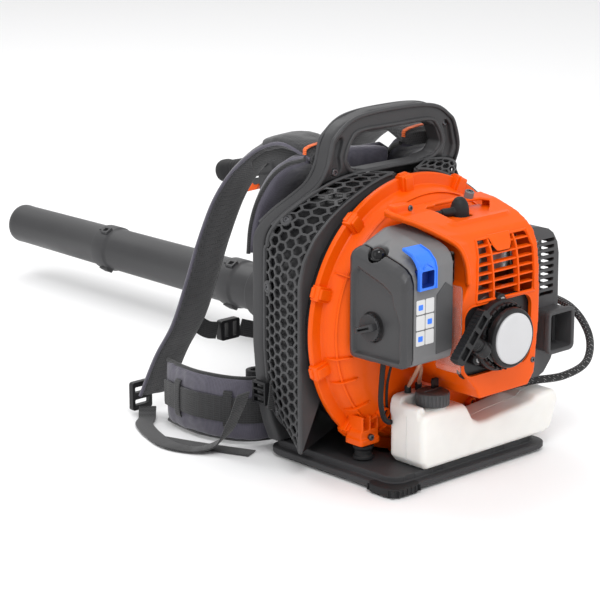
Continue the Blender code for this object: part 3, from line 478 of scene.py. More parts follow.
def moulded(name, solids, mat, voxel=0.0016, iterations=4, cuts=(), keep=1.0):
    """Fuse overlapping solids, cut them, and round every edge as a moulding's."""
    thing = merged(name, solids, mat)
    step = thing.modifiers.new("fuse", "REMESH")
    step.mode = "VOXEL"
    step.voxel_size = voxel
    bake(thing)
    for tool in cuts:
        boolean(thing, tool)
    if cuts:
        step = thing.modifiers.new("fuse", "REMESH")
        step.mode = "VOXEL"
        step.voxel_size = voxel
    step = thing.modifiers.new("ease", "SMOOTH")
    step.factor = 0.5
    step.iterations = iterations
    if keep < 1.0:
        step = thing.modifiers.new("thin", "DECIMATE")
        step.ratio = keep
    bake(thing)
    thing.data.materials.clear()
    thing.data.materials.append(M[mat])
    thing.data.shade_smooth()
    return thing


def screw(name, centre, direction, radius=0.0042, body="frame", mat="screw"):
    """Cap screw with a six-lobed socket."""
    axis = Vector(direction).normalized()
    head = ((radius * 0.98, -0.003), (radius, 0.0), (radius * 0.96, 0.001), (radius * 0.82, 0.0016),
        (radius * 0.56, 0.0017))
    rings = [circle(Vector(centre) + axis * along, r, axis, 24) for r, along in head]
    side = axis.orthogonal().normalized()
    up = axis.cross(side)
    for depth in (0.0016, 0.0002):
        lobes = []
        for i in range(24):
            a = math.tau * i / 24
            r = radius * (0.44 + 0.09 * math.cos(6 * a))
            lobes.append(Vector(centre) + axis * depth + r * (side * math.cos(a) + up * math.sin(a)))
        rings.append(lobes)
    thing = loft(name, rings, mat)
    thing.data.shade_smooth()
    thing.data.set_sharp_from_angle(angle=math.radians(35))
    return finish(thing, body)


def carry(node, mat, width=0.0):
    """Keep a CAD node's own shape, with round edges and a real material."""
    thing = NODES[node]
    thing.data.materials.clear()
    thing.data.materials.append(M[mat])
    thing.data.polygons.foreach_set("use_smooth", [True] * len(thing.data.polygons))
    step = thing.modifiers.new("weld", "WELD")
    step.merge_threshold = 0.00001
    if width > 0:
        step = thing.modifiers.new("round", "BEVEL")
        step.width = width
        step.segments = 2
        step.limit_method = "ANGLE"
        step.angle_limit = math.radians(40)
    step = thing.modifiers.new("crease", "EDGE_SPLIT")
    step.split_angle = math.radians(38)
    return thing


def between(value, stations):
    """Linear value between stations."""
    if value <= stations[0][0]:
        return stations[0][1]
    for (a, first), (b, second) in zip(stations, stations[1:]):
        if value <= b:
            return first + (second - first) * (value - a) / (b - a)
    return stations[-1][1]


# ------------------------------------------------------------ camera, light

def studio():
    """Camera, floor and lights."""
    data = bpy.data.cameras.new("camera")
    data.lens = 135
    data.sensor_width = 36
    camera = bpy.data.objects.new("camera", data)
    bpy.context.scene.collection.objects.link(camera)
    azimuth, elevation = math.radians(42.8), math.radians(15.0)
    camera.rotation_euler = (math.pi / 2 - elevation, 0.0, -azimuth)
    camera.location = (-2.1007, -2.0499, 1.0)
    bpy.context.scene.camera = camera
    floor = raw("floor", [(-9, -9, -0.0004), (9, -9, -0.0004), (9, 9, -0.0004), (-9, 9, -0.0004)], [(0, 1, 2, 3)])
    mat, tree, shader = new_material("floor_paint", (0.9, 0.9, 0.905), 0.6)
    noise = add(tree, "ShaderNodeTexNoise", Scale=3.0)
    tree.links.new(spread(tree, noise.outputs["Fac"], 0.3, 0.7, 0.55, 0.65), shader.inputs["Roughness"])
    floor.data.materials.append(mat)
    lights = (("key", (-1.2, -1.6, 2.9), 1.4, 50.0), ("front", (1.6, -3.0, 1.3), 2.0, 14.0),
        ("top", (0.3, 2.4, 3.4), 3.0, 60.0), ("side", (-3.0, 0.6, 1.2), 1.8, 10.0))
    for name, place, size, power in lights:
        lamp = bpy.data.lights.new(name, "AREA")
        lamp.size = size
        lamp.energy = power
        thing = bpy.data.objects.new(name, lamp)
        bpy.context.scene.collection.objects.link(thing)
        thing.location = place
        thing.rotation_euler = (Vector((0.0, 0.2, 0.2)) - Vector(place)).to_track_quat("-Z", "Y").to_euler()
    world = bpy.data.worlds.new("studio")
    world.use_nodes = True
    world.node_tree.nodes["Background"].inputs["Color"].default_value = (1.0, 1.0, 1.0, 1.0)
    world.node_tree.nodes["Background"].inputs["Strength"].default_value = 0.84
    bpy.context.scene.world = world
    bpy.context.scene.view_settings.view_transform = "Standard"


# ------------------------------------------------------- cords and hoses

def cords():
    """Cable conduit, fuel hoses and the thin lead."""
    route = [(0.212, 0.499, 0.2), (0.212, 0.48, 0.198), (0.216, 0.42, 0.184), (0.224, 0.32, 0.166),
        (0.23, 0.22, 0.158), (0.236, 0.1, 0.166), (0.242, 0.0, 0.182), (0.247, -0.068, 0.176),
        (0.25, -0.104, 0.142), (0.234, -0.116, 0.107), (0.2, -0.104, 0.09), (0.155, -0.086, 0.088),
        (0.105, -0.08, 0.088), (0.06, -0.08, 0.088), (0.04, -0.08, 0.096), (0.038, -0.08, 0.109),
        (0.038, -0.08, 0.1164)]
    points = smooth(route, 260)
    cuts = [0] + [min(range(260), key=lambda i: abs(points[i].y - y) + (1 if i > 150 else 0))
        for y in (0.335, 0.258, 0.105)] + [259]
    parts = []
    for number, (a, b) in enumerate(zip(cuts, cuts[1:])):
        parts.append(pipe("conduit_%d" % (number + 1), points[a:b + 1], CONDUIT_RADIUS, "braid", 0, 16))
    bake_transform(parts[0])
    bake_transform(parts[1])
    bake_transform(parts[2])
    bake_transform(parts[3])
    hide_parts("throttle_conduit")
    top, under = 0.1132, 0.177
    hoses = (("feed_hose", "fuel_line_feed", [(-0.07, -0.066, top), (-0.07, -0.067, 0.122), (-0.084, -0.094, 0.15),
        (-0.094, -0.11, 0.167), (-0.094, -0.11, under)], 0.0028, "hose"),
        ("return_hose", "fuel_line_return", [(-0.05, -0.066, top), (-0.051, -0.068, 0.124), (-0.068, -0.088, 0.15),
        (-0.082, -0.098, 0.167), (-0.082, -0.098, under)], 0.0028, "hose"),
        ("vent_tube", "vent_hose", [(-0.127, -0.078, under), (-0.128, -0.076, 0.15), (-0.124, -0.07, 0.115),
        (-0.112, -0.063, 0.089), (-0.101, -0.06, 0.079), (-0.095, -0.06, 0.077)], 0.0036, "rubber"))
    for name, node, way, radius, mat in hoses:
        hose, line = pipe(name, way, radius, mat, 50, 16), smooth(way, 50)
        finish(hose, "frame", "fuel_hose", node)
    for name, where in (("hose_sleeve_a", (-0.07, -0.0661, 0.1165)), ("hose_sleeve_b", (-0.05, -0.0661, 0.1165))):
        finish(turned(name, ((0.003, -0.003), (0.0046, -0.003), (0.0046, 0.006), (0.004, 0.007), (0.003, 0.007)),
            where, (0, 0, 1), "rubber", 24), "frame")
    lead = [(-0.086, -0.048, 0.078), (-0.093, -0.05, 0.1), (-0.098, -0.056, 0.13), (-0.101, -0.066, 0.16),
        (-0.102, -0.068, 0.177)]
    finish(pipe("ignition_lead", lead, 0.0018, "rubber", 40, 12), "frame")


# ---------------------------------------------------- base and back frame

def frame_centre(level):
    """Middle of the back frame's depth at a height."""
    upright = between(level, ((0.0225, 0.111), (0.08, 0.122), (0.16, 0.128)))
    t = min(max((level - 0.3) / 0.11, 0.0), 1.0)
    return upright + (0.045 - upright) * t * t * (3 - 2 * t)


def base_plate():
    steps = ((0.008, 0.006, 0.0003), (0.001, 0.001, 0.004), (0.0, 0.0, 0.0055), (0.0, 0.0, 0.011),
        (0.0012, 0.0012, 0.0122), (0.0105, 0.0085, 0.0132), (0.012, 0.01, 0.0146), (0.012, 0.01, 0.0205),
        (0.0132, 0.0112, 0.0217))
    rings = []
    for front, side, level in steps:
        low = -0.125 + front
        outline = rounded((0.0, (low + 0.125) / 2), (0.3 - 2 * side, 0.125 - low), 0.022, 12)
        rings.append([(x, y, level) for x, y in outline])
    plate = loft("base_moulding", rings, "dark")
    boolean(plate, block("trough", (-0.075, -0.03, 0.0065), (0.075, 0.03, 0.04), None, 0.004, "xy"))
    for x in (-0.112, -0.06, 0.06, 0.112):
        boolean(plate, block("notch", (x - 0.011, -0.14, 0.0146), (x + 0.011, -0.112, 0.03), None, 0.003, "xy"))
    soften(plate, 0.0007)
    finish(plate, "frame", "dark_plastic", "base_plate")
    foot = loft("foot_pad", [[(x, y, level) for x, y in rounded((-0.128, -0.1 + drop),
        (0.06 - 2 * inset, 0.058 - 2 * inset), 0.02 - inset, 8)] for level, inset, drop in ((0.0004, 0.003, 0),
        (0.003, 0.0, 0), (0.01, 0.0, 0), (0.0125, 0.0015, 0), (0.0132, 0.006, 0))], "rubber")
    finish(soften(foot, 0.0006), "frame", "rubber")
    ribs = [block("rib", (-0.157, -0.126 + 0.0075 * i, 0.003), (-0.15, -0.1235 + 0.0075 * i, 0.0115), "rubber",
        0.001) for i in range(7)]
    ribs += [block("rib", (-0.148 + 0.0075 * i, -0.13, 0.003), (-0.1455 + 0.0075 * i, -0.124, 0.0115), "rubber",
        0.001) for i in range(6)]
    finish(soften(merged("foot_ribs", ribs, "rubber"), 0.0004), "frame", "rubber")
    for x in (-0.112, 0.112):
        profile = [(0.0118, 0.0), (0.0142, 0.0015), (0.0142, 0.005), (0.0116, 0.0075), (0.0116, 0.0135),
            (0.0142, 0.016), (0.0142, 0.0195), (0.012, 0.0214)]
        mount = turned("isolator_%s" % ("left" if x < 0 else "right"), profile, (x, -0.026, 0.0223), (0, 0, 1),
            "rubber", 40)
        finish(soften(mount, 0.0008), "frame", "rubber", "mount_left" if x < 0 else "mount_right")


def frame_widths():
    return ((0.0225, 0.15), (0.05, 0.158), (0.08, 0.161), (0.16, 0.163), (0.3, 0.163), (0.325, 0.159),
            (0.345, 0.151), (0.365, 0.141), (0.385, 0.132), (0.41, 0.126), (0.44, 0.117), (0.456, 0.105),
            (0.467, 0.088), (0.473, 0.066), (0.476, 0.03))


def back_frame():
    levels = [0.0225 + 0.4525 * i / 90 for i in range(91)]
    fine = frame_widths()

    def half(level):
        spans = [(level + shift) for shift in (-0.006, 0.0, 0.006)]
        value = sum(between(max(0.0225, min(0.476, s)), fine) for s in spans) / 3
        return min(value, between(level, fine) + 0.001)
    rings = []
    for level in levels:
        depth = 0.024 if level < 0.47 else 0.024 - 1.2 * (level - 0.47)
        outline = rounded((0.0, frame_centre(level)), (2 * half(level), depth), 0.0065, 3)
        rings.append([(x, y, level) for x, y in outline])
    solid = loft("solid", rings)
    cuts = [block("pocket", (-0.149, 0.09, 0.12), (0.149, 0.1325, 0.294), None, 0.012)]
    hole = [(-0.078, 0.402), (-0.05, 0.396), (0.05, 0.396), (0.078, 0.402), (0.088, 0.416), (0.078, 0.438),
        (0.06, 0.447), (-0.06, 0.447), (-0.078, 0.438), (-0.088, 0.416)]
    cuts.append(prism("hole", hole, "xz", 0.0, 0.12))
    for side in (-1, 1):
        leg = [(side * x, z) for x, z in ((0.098, 0.392), (0.11, 0.39), (0.114, 0.408), (0.108, 0.436),
            (0.099, 0.446), (0.093, 0.44), (0.1, 0.42), (0.097, 0.404))]
        cuts.append(prism("leg_slot", leg, "xz", 0.0, 0.0405))
        low = [(side * x, z) for x, z in ((0.096, 0.352), (0.112, 0.35), (0.113, 0.372), (0.102, 0.378))]
        cuts.append(prism("low_slot", low, "xz", 0.0, frame_centre(0.365) - 0.006))
    frame_body = moulded("frame_moulding", [solid], "frame", 0.0017, 3, cuts)
    finish(frame_body, "frame", "dark_plastic", "back_frame")
    # raised rims round the handle, its opening and the legs
    outer = [(x, z) for z, x in frame_widths() if z > 0.3]
    rim = [(-x, z) for x, z in outer] + [(x, z) for x, z in outer[::-1]]
    for name, y_shift in (("rim_front", -0.0125), ("rim_back", 0.012)):
        way = [Vector((x * 0.975, frame_centre(z) + y_shift, z - (0.004 if z > 0.45 else 0.0))) for x, z in rim]
        finish(pipe(name, way, 0.0028, "frame", 160, 10), "frame", "dark_plastic")
    inner = [(x, frame_centre(z) - 0.0122, z) for x, z in [(0.0, 0.3925), (-0.05, 0.3925), (-0.08, 0.3985),
        (-0.0915, 0.416), (-0.0805, 0.4405), (-0.062, 0.4505), (0.0, 0.4508), (0.062, 0.4505), (0.0805, 0.4405),
        (0.0915, 0.416), (0.08, 0.3985), (0.05, 0.3925)]]
    way = smooth([inner[-1]] + inner + [inner[0], inner[1]], 150)
    ring = pipe("handle_lip", way[10:-9], 0.0026, "frame", 0, 10)
    finish(ring, "frame", "dark_plastic")
    for name, x, z, depth in (("bolt_a", -0.104, 0.3985, 0.0395), ("bolt_b", 0.1035, 0.44, 0.0395),
            ("bolt_c", -0.104, 0.36, 0.0), ("bolt_d", 0.104, 0.36, 0.0)):
        y = frame_centre(z) - 0.0055 if not depth else depth
        screw(name, (x, y, z), (0, -1, 0), 0.0052)


# --------------------------------------------------------- honeycomb panels

def clip_polygon(subject, clipper):
    """Part of a polygon inside a convex one."""
    result = subject
    for i, a in enumerate(clipper):
        b = clipper[(i + 1) % len(clipper)]
        given, result = result, []
        if not given:
            return []

        def inside(p):
            return (b[0] - a[0]) * (p[1] - a[1]) - (b[1] - a[1]) * (p[0] - a[0]) >= 0
        for j, p in enumerate(given):
            q = given[(j + 1) % len(given)]
            if inside(p) != inside(q):
                dx, dy = q[0] - p[0], q[1] - p[1]
                ex, ey = b[0] - a[0], b[1] - a[1]
                t = (ey * (a[0] - p[0]) - ex * (a[1] - p[1])) / (ey * dx - ex * dy)
                cross = (p[0] + t * dx, p[1] + t * dy)
                if inside(p):
                    result += [p, cross] if not result or result[-1] != p else [cross]
                else:
                    result.append(cross)
                if inside(q):
                    result.append(q)
            elif inside(q):
                result.append(q)
    clean = []
    for p in result:
        if not clean or math.dist(p, clean[-1]) > 1e-4:
            clean.append(p)
    if len(clean) > 2 and math.dist(clean[0], clean[-1]) < 1e-4:
        clean.pop()
    return clean


def area_of(points):
    return 0.5 * sum(a[0] * b[1] - b[0] * a[1] for a, b in zip(points, points[1:] + points[:1]))


def honeycomb(name, first, last, side, node):
    """Perforated panel from the fan's rim to the back frame."""
    spreading = ((0.0, 0.0), (5, 0.087), (15, 0.259), (24, 0.415), (32, 0.56), (40, 0.7), (50, 0.855), (60, 0.955),
        (70, 1.0), (180, 1.0))

    def edges(angle):
        sin, cos = math.sin(math.radians(angle)), math.cos(math.radians(angle))
        front = Vector((side * PANEL_RING * between(angle, spreading), 0.0125, CRANK_HEIGHT + PANEL_RING * cos))
        edge_z = 0.209 + math.copysign(0.185 * abs(cos) ** 0.4, cos)
        back = Vector((side * 0.1605 * abs(sin) ** 0.4, frame_centre(edge_z) - (0.0125 if edge_z < 0.295
            else 0.0165), edge_z))
        return front, back
    count = 160
    fine = [edges(first + (last - first) * i / 1200) for i in range(1201)]

    def evenly(line):
        reach = [0.0]
        for a, b in zip(line, line[1:]):
            reach.append(reach[-1] + (b - a).length)
        shares, k = [], 0
        for i in range(count + 1):
            goal = reach[-1] * i / count
            while k < len(reach) - 2 and reach[k + 1] < goal:
                k += 1
            shares.append(line[k].lerp(line[k + 1], (goal - reach[k]) / max(reach[k + 1] - reach[k], 1e-9)))
        return shares
    rows = list(zip(evenly([a for a, b in fine]), evenly([b for a, b in fine])))
    along = [0.0]
    for (a, b), (c, d) in zip(rows, rows[1:]):
        along.append(along[-1] + ((a + b) / 2 - (c + d) / 2).length)
    width = [(b - a).length for a, b in rows]

    def at(u):
        u = min(max(u, 0.0), along[-1])
        k = next((i for i in range(count) if along[i + 1] >= u), count - 1)
        t = (u - along[k]) / max(along[k + 1] - along[k], 1e-9)
        front = rows[k][0].lerp(rows[k + 1][0], t)
        back = rows[k][1].lerp(rows[k + 1][1], t)
        return front, back, width[k] * (1 - t) + width[k + 1] * t

    def region(inset):
        low = [(inset + (along[-1] - 2 * inset) * i / 120, inset) for i in range(121)]
        high = [(u, at(u)[2] - inset) for u, _ in low]
        return low + high[::-1]
    outline = region(0.0003)
    holes_in = region(PANEL_BORDER)
    pitch, gap, reach = 0.0152, 0.0025, 1.4
    radius = (pitch - gap) / 2 / math.cos(math.pi / 6)
    holes = []
    rows_count = int(max(width) / (pitch * 0.866 * reach)) + 2
    for row in range(rows_count):
        for column in range(int(along[-1] / pitch) + 2):
            centre = (column * pitch + (pitch / 2 if row % 2 else 0.0), row * pitch * 0.866 * reach + 0.005)
            # each cell is a hexagon with points towards the two long edges
            cell = [(centre[0] + radius * math.sin(math.tau * k / 6), centre[1] - radius * reach
                * math.cos(math.tau * k / 6)) for k in range(6)]
            if area_of(cell) < 0:
                cell.reverse()
            low = at(centre[0])[2]
            if centre[1] > low or centre[0] > along[-1]:
                continue
            inside = (PANEL_BORDER + radius < centre[0] < along[-1] - PANEL_BORDER - radius
                and PANEL_BORDER + radius * reach < centre[1] < low - PANEL_BORDER - radius * reach - 0.002)
            part = cell if inside else clip_polygon(holes_in, cell)
            if len(part) > 2 and abs(area_of(part)) > 1.6e-5:
                holes.append(part)
    data = bpy.data.curves.new(name, "CURVE")
    data.dimensions = "2D"
    data.fill_mode = "BOTH"
    data.extrude = 0.0012
    data.bevel_depth = 0.0004
    data.bevel_resolution = 1
    for polygon in [outline] + holes:
        spline = data.splines.new("POLY")
        spline.points.add(len(polygon) - 1)
        for point, (u, v) in zip(spline.points, polygon):
            point.co = (u, v, 0.0, 1.0)
        spline.use_cyclic_u = True
    thing = bpy.data.objects.new(name, data)
    bpy.context.scene.collection.objects.link(thing)
    bpy.context.view_layer.update()
    mesh = bpy.data.meshes.new_from_object(thing.evaluated_get(bpy.context.evaluated_depsgraph_get()))
    bpy.data.objects.remove(thing, do_unlink=True)
    for vertex in mesh.vertices:
        u, v, h = vertex.co
        front, back, wide = at(u)
        ahead, behind = at(u + 0.002), at(u - 0.002)
        tangent = ((ahead[0] + ahead[1]) - (behind[0] + behind[1])).normalized()
        across = (back - front).normalized()
        normal = tangent.cross(across).normalized()
        bow = math.sin(math.pi * min(max(v / wide, 0.0), 1.0)) * 0.004
        flat = front + (back - front) * (v / wide)
        outward = normal if normal.x * side > 0 else -normal
        vertex.co = flat + outward * (h + bow - 0.0012)
    panel = put(name, mesh, "panel")
    soften(panel, 0.0, angle=40)
    finish(panel, "frame", "dark_plastic", node)

    def on(u, v, rise):
        front, back, wide = at(u)
        ahead, behind = at(u + 0.002), at(u - 0.002)
        normal = ((ahead[0] + ahead[1]) - (behind[0] + behind[1])).normalized().cross((back - front).normalized())
        outward = normal if normal.x * side > 0 else -normal
        bow = math.sin(math.pi * min(max(v / wide, 0.0), 1.0)) * 0.004
        return front + (back - front) * (v / wide) + outward * (rise + bow)
    loop = [on(0.0025 + (along[-1] - 0.005) * i / 110, 0.0022, 0.0004) for i in range(111)]
    loop += [on(0.0025 + (along[-1] - 0.005) * i / 110, at(0.0025 + (along[-1] - 0.005) * i / 110)[2] - 0.0022,
        0.0004) for i in range(110, -1, -1)]
    finish(pipe(name + "_rim", loop, 0.0024, "panel", 0, 10, closed=True), "frame", "dark_plastic")
    # dark duct wall between the panel's front edge and the fan's rim
    rings = []
    for i in range(61):
        angle = first + (last - first) * i / 60
        sin, cos = math.sin(math.radians(angle)), math.cos(math.radians(angle))
        front = edges(angle)[0]
        inner = Vector((side * 0.176 * sin, 0.046, 0.2 + 0.176 * cos))
        mid = Vector((front.x * 0.985, front.y + 0.006, 0.2 + (front.z - 0.2) * 0.985))
        rings.append([inner, front + Vector((0, 0.001, 0)), mid, Vector((inner.x * 0.98, 0.05,
            0.2 + (inner.z - 0.2) * 0.98))])
    finish(soften(loft(name + "_lip", rings, "black")), "frame", "black_plastic")
    rings = []
    for i in range(61):
        front, back, _ = at(along[-1] * i / 60)
        centre = Vector((0.0, 0.06, 0.2))
        deep = [p + (centre - p).normalized() * step for p, step in ((front, 0.004), (back, 0.01), (back, 0.013),
            (front, 0.007))]
        rings.append(deep)
    finish(soften(loft(name + "_liner", rings, "black")), "frame", "black_plastic")
    for number, share in enumerate((0.3, 0.52, 0.9)):
        u = along[-1] * share
        v = at(u)[2] - 0.013
        spot, outward = on(u, v, 0.0006), (on(u, v, 0.01) - on(u, v, 0.0)).normalized()
        cup = turned("%s_cup_%d" % (name, number + 1), ((0.0046, 0.001), (0.008, 0.0012), (0.0088, 0.0004),
            (0.009, -0.002), (0.0046, -0.002)), spot, outward, "frame", 28, hollow=True)
        finish(soften(cup, 0.0, angle=50), "frame", "dark_plastic")
        screw("%s_screw_%d" % (name, number + 1), spot - outward * 0.0008, outward, 0.0044)


# ------------------------------------------------------------ fan housing

def fan_housing():
    profile = [(0.03, -0.052), (0.112, -0.052), (0.122, -0.0518), (0.134, -0.049), (0.146, -0.045), (0.156, -0.039),
        (0.164, -0.032), (0.1695, -0.024), (0.1725, -0.016), (0.1735, -0.0105), (0.175, -0.0088), (0.1885, -0.0082),
        (0.1897, -0.007), (0.1897, -0.0008), (0.1885, 0.0), (0.172, 0.0), (0.169, -0.016), (0.16, -0.032),
        (0.148, -0.04), (0.119, -0.0488), (0.03, -0.0488)]
    body = turned("housing", profile, CRANK, (0, 1, 0), "orange", 180, hollow=True)
    soften(body, 0.0006)
    finish(body, "frame", "orange_plastic", "fan_housing_front")
    ridge = turned("housing_ridge", ((0.1655, -0.03), (0.1668, -0.0318), (0.1685, -0.03), (0.1672, -0.028)), CRANK,
        (0, 1, 0), "orange", 180, hollow=True)
    finish(soften(ridge), "frame", "orange_plastic")
    clips = []
    for i in range(11):
        angle = math.radians(-105.0 + 360.0 / 11 * i)
        pieces = [block("clip", (-0.01, -0.015, 0.17), (0.01, -0.001, 0.193), None, 0.002, "yz"),
            block("clip", (-0.0068, -0.018, 0.17), (0.0068, -0.001, 0.1912), None, 0.002, "yz"),
            block("clip", (-0.0068, -0.008, 0.17), (0.0068, -0.001, 0.195), None, 0.002, "yz")]
        clip = merged("clip", pieces)
        clip.data.transform(Matrix.Translation(CRANK) @ Matrix.Rotation(angle, 4, "Y"))
        clips.append(clip)
    clips = merged("housing_clips", clips, "orange")
    soften(clips, 0.0007)
    finish(clips, "frame", "orange_plastic")
    ribs = []
    for angle in [math.radians(a) for a in (128, 138, 148, -128, -138, -148, 100, 112, -100, -112, 62, -62)]:
        rib = prism("rib", ((0.15, -0.044), (0.168, -0.029), (0.1735, -0.012), (0.1735, -0.024), (0.17, -0.033),
            (0.156, -0.0445)), "xy", -0.0011, 0.0011)
        turn = Matrix(((0, 0, 1, 0), (0, 1, 0, 0), (1, 0, 0, 0), (0, 0, 0, 1)))
        rib.data.transform(Matrix.Translation(CRANK) @ Matrix.Rotation(angle, 4, "Y") @ turn)
        ribs.append(rib)
    finish(soften(merged("housing_ribs", ribs, "orange"), 0.0004), "frame", "orange_plastic")
    for side in (-1, 1):
        name = "left" if side < 0 else "right"
        low, high = sorted((side * 0.096, side * 0.132))
        pieces = [block("foot", (low, -0.0425, 0.0452), (high, -0.0105, 0.054), None, 0.004, "xy"),
            block("foot", (side * 0.098 if side > 0 else side * 0.13, -0.04, 0.05),
            (side * 0.13 if side > 0 else side * 0.098, -0.012, 0.066), None, 0.004)]
        for x in (0.099, 0.1125, 0.126):
            pieces.append(block("web", (side * x - 0.0013, -0.04, 0.05), (side * x + 0.0013, -0.012, 0.085), None))
        foot = moulded("housing_foot_" + name, pieces, "orange", 0.0011, 3)
        finish(foot, "frame", "orange_plastic")
        screw("foot_screw_" + name, (side * 0.114, -0.0432, 0.056), (0, -1, 0), 0.0045)
    # flange joining the lower front of the housing to the base
    for number, (x, z) in enumerate(((-0.096, 0.088), (-0.072, 0.066), (0.096, 0.088), (0.072, 0.066))):
        boss = turned("housing_boss_%d" % (number + 1), ((0.0075, 0.0), (0.0072, 0.016), (0.0062, 0.017),
            (0.0046, 0.017), (0.0046, 0.01), (0.0, 0.01)), (x, -0.036, z), (0, -1, 0), "orange", 28)
        finish(soften(boss, 0.0), "frame", "orange_plastic")
        screw("housing_boss_screw_%d" % (number + 1), (x, -0.0475, z), (0, -1, 0), 0.004)


# --------------------------------------------------------- engine shroud

def shroud_outline(s):
    return [(-0.028 + s, 0.117 + s), (0.066 - s, 0.117 + s), (0.078 - s, 0.132), (0.084 - s, 0.2),
            (0.084 - s, 0.345), (0.076 - s, 0.366 - s), (-0.104 + s, 0.366 - s), (-0.104 + s, 0.354 + s),
            (-0.066 + s, 0.35 + s), (-0.05 + s, 0.336), (-0.05 + s, 0.275), (-0.066 + s, 0.245),
            (-0.066 + s, 0.165), (-0.034 + s, 0.13)]


def shroud_side(s):
    back = -0.0524 + (0.02 if s else 0.0)
    return [(-0.156 + s, 0.1), (back, 0.1), (back, 0.362 - s), (-0.08, 0.358 - s), (-0.112, 0.3455 - s),
            (-0.132, 0.334 - s), (-0.143 + s * 0.8, 0.3235 - s * 0.5), (-0.1505 + s, 0.306), (-0.1545 + s, 0.275),
            (-0.156 + s, 0.24)]


def shroud_top(s):
    return [(0.09, -0.2), (0.09, -0.02), (-0.11, -0.02), (-0.11 + s, -0.078 + s), (-0.062 + s, -0.2)]


def shroud_solid(s):
    solid = prism("shroud", shroud_outline(s), "xz", -0.17 - s * 3, -0.04 + s * 3)
    boolean(solid, prism("trim", shroud_side(s), "yz", -0.2, 0.2), "INTERSECT")
    boolean(solid, prism("trim", shroud_top(s), "xy", 0.0, 0.5), "INTERSECT")
    return solid


def cooling_window(grow):
    g = grow
    return [(-0.036 - g, 0.25 - g), (0.071 + g, 0.248 - g), (0.0735 + g, 0.3), (0.068 + g, 0.324 + g),
            (-0.024 - g, 0.324 + g), (-0.03 - g, 0.3), (-0.033 - g, 0.276)]


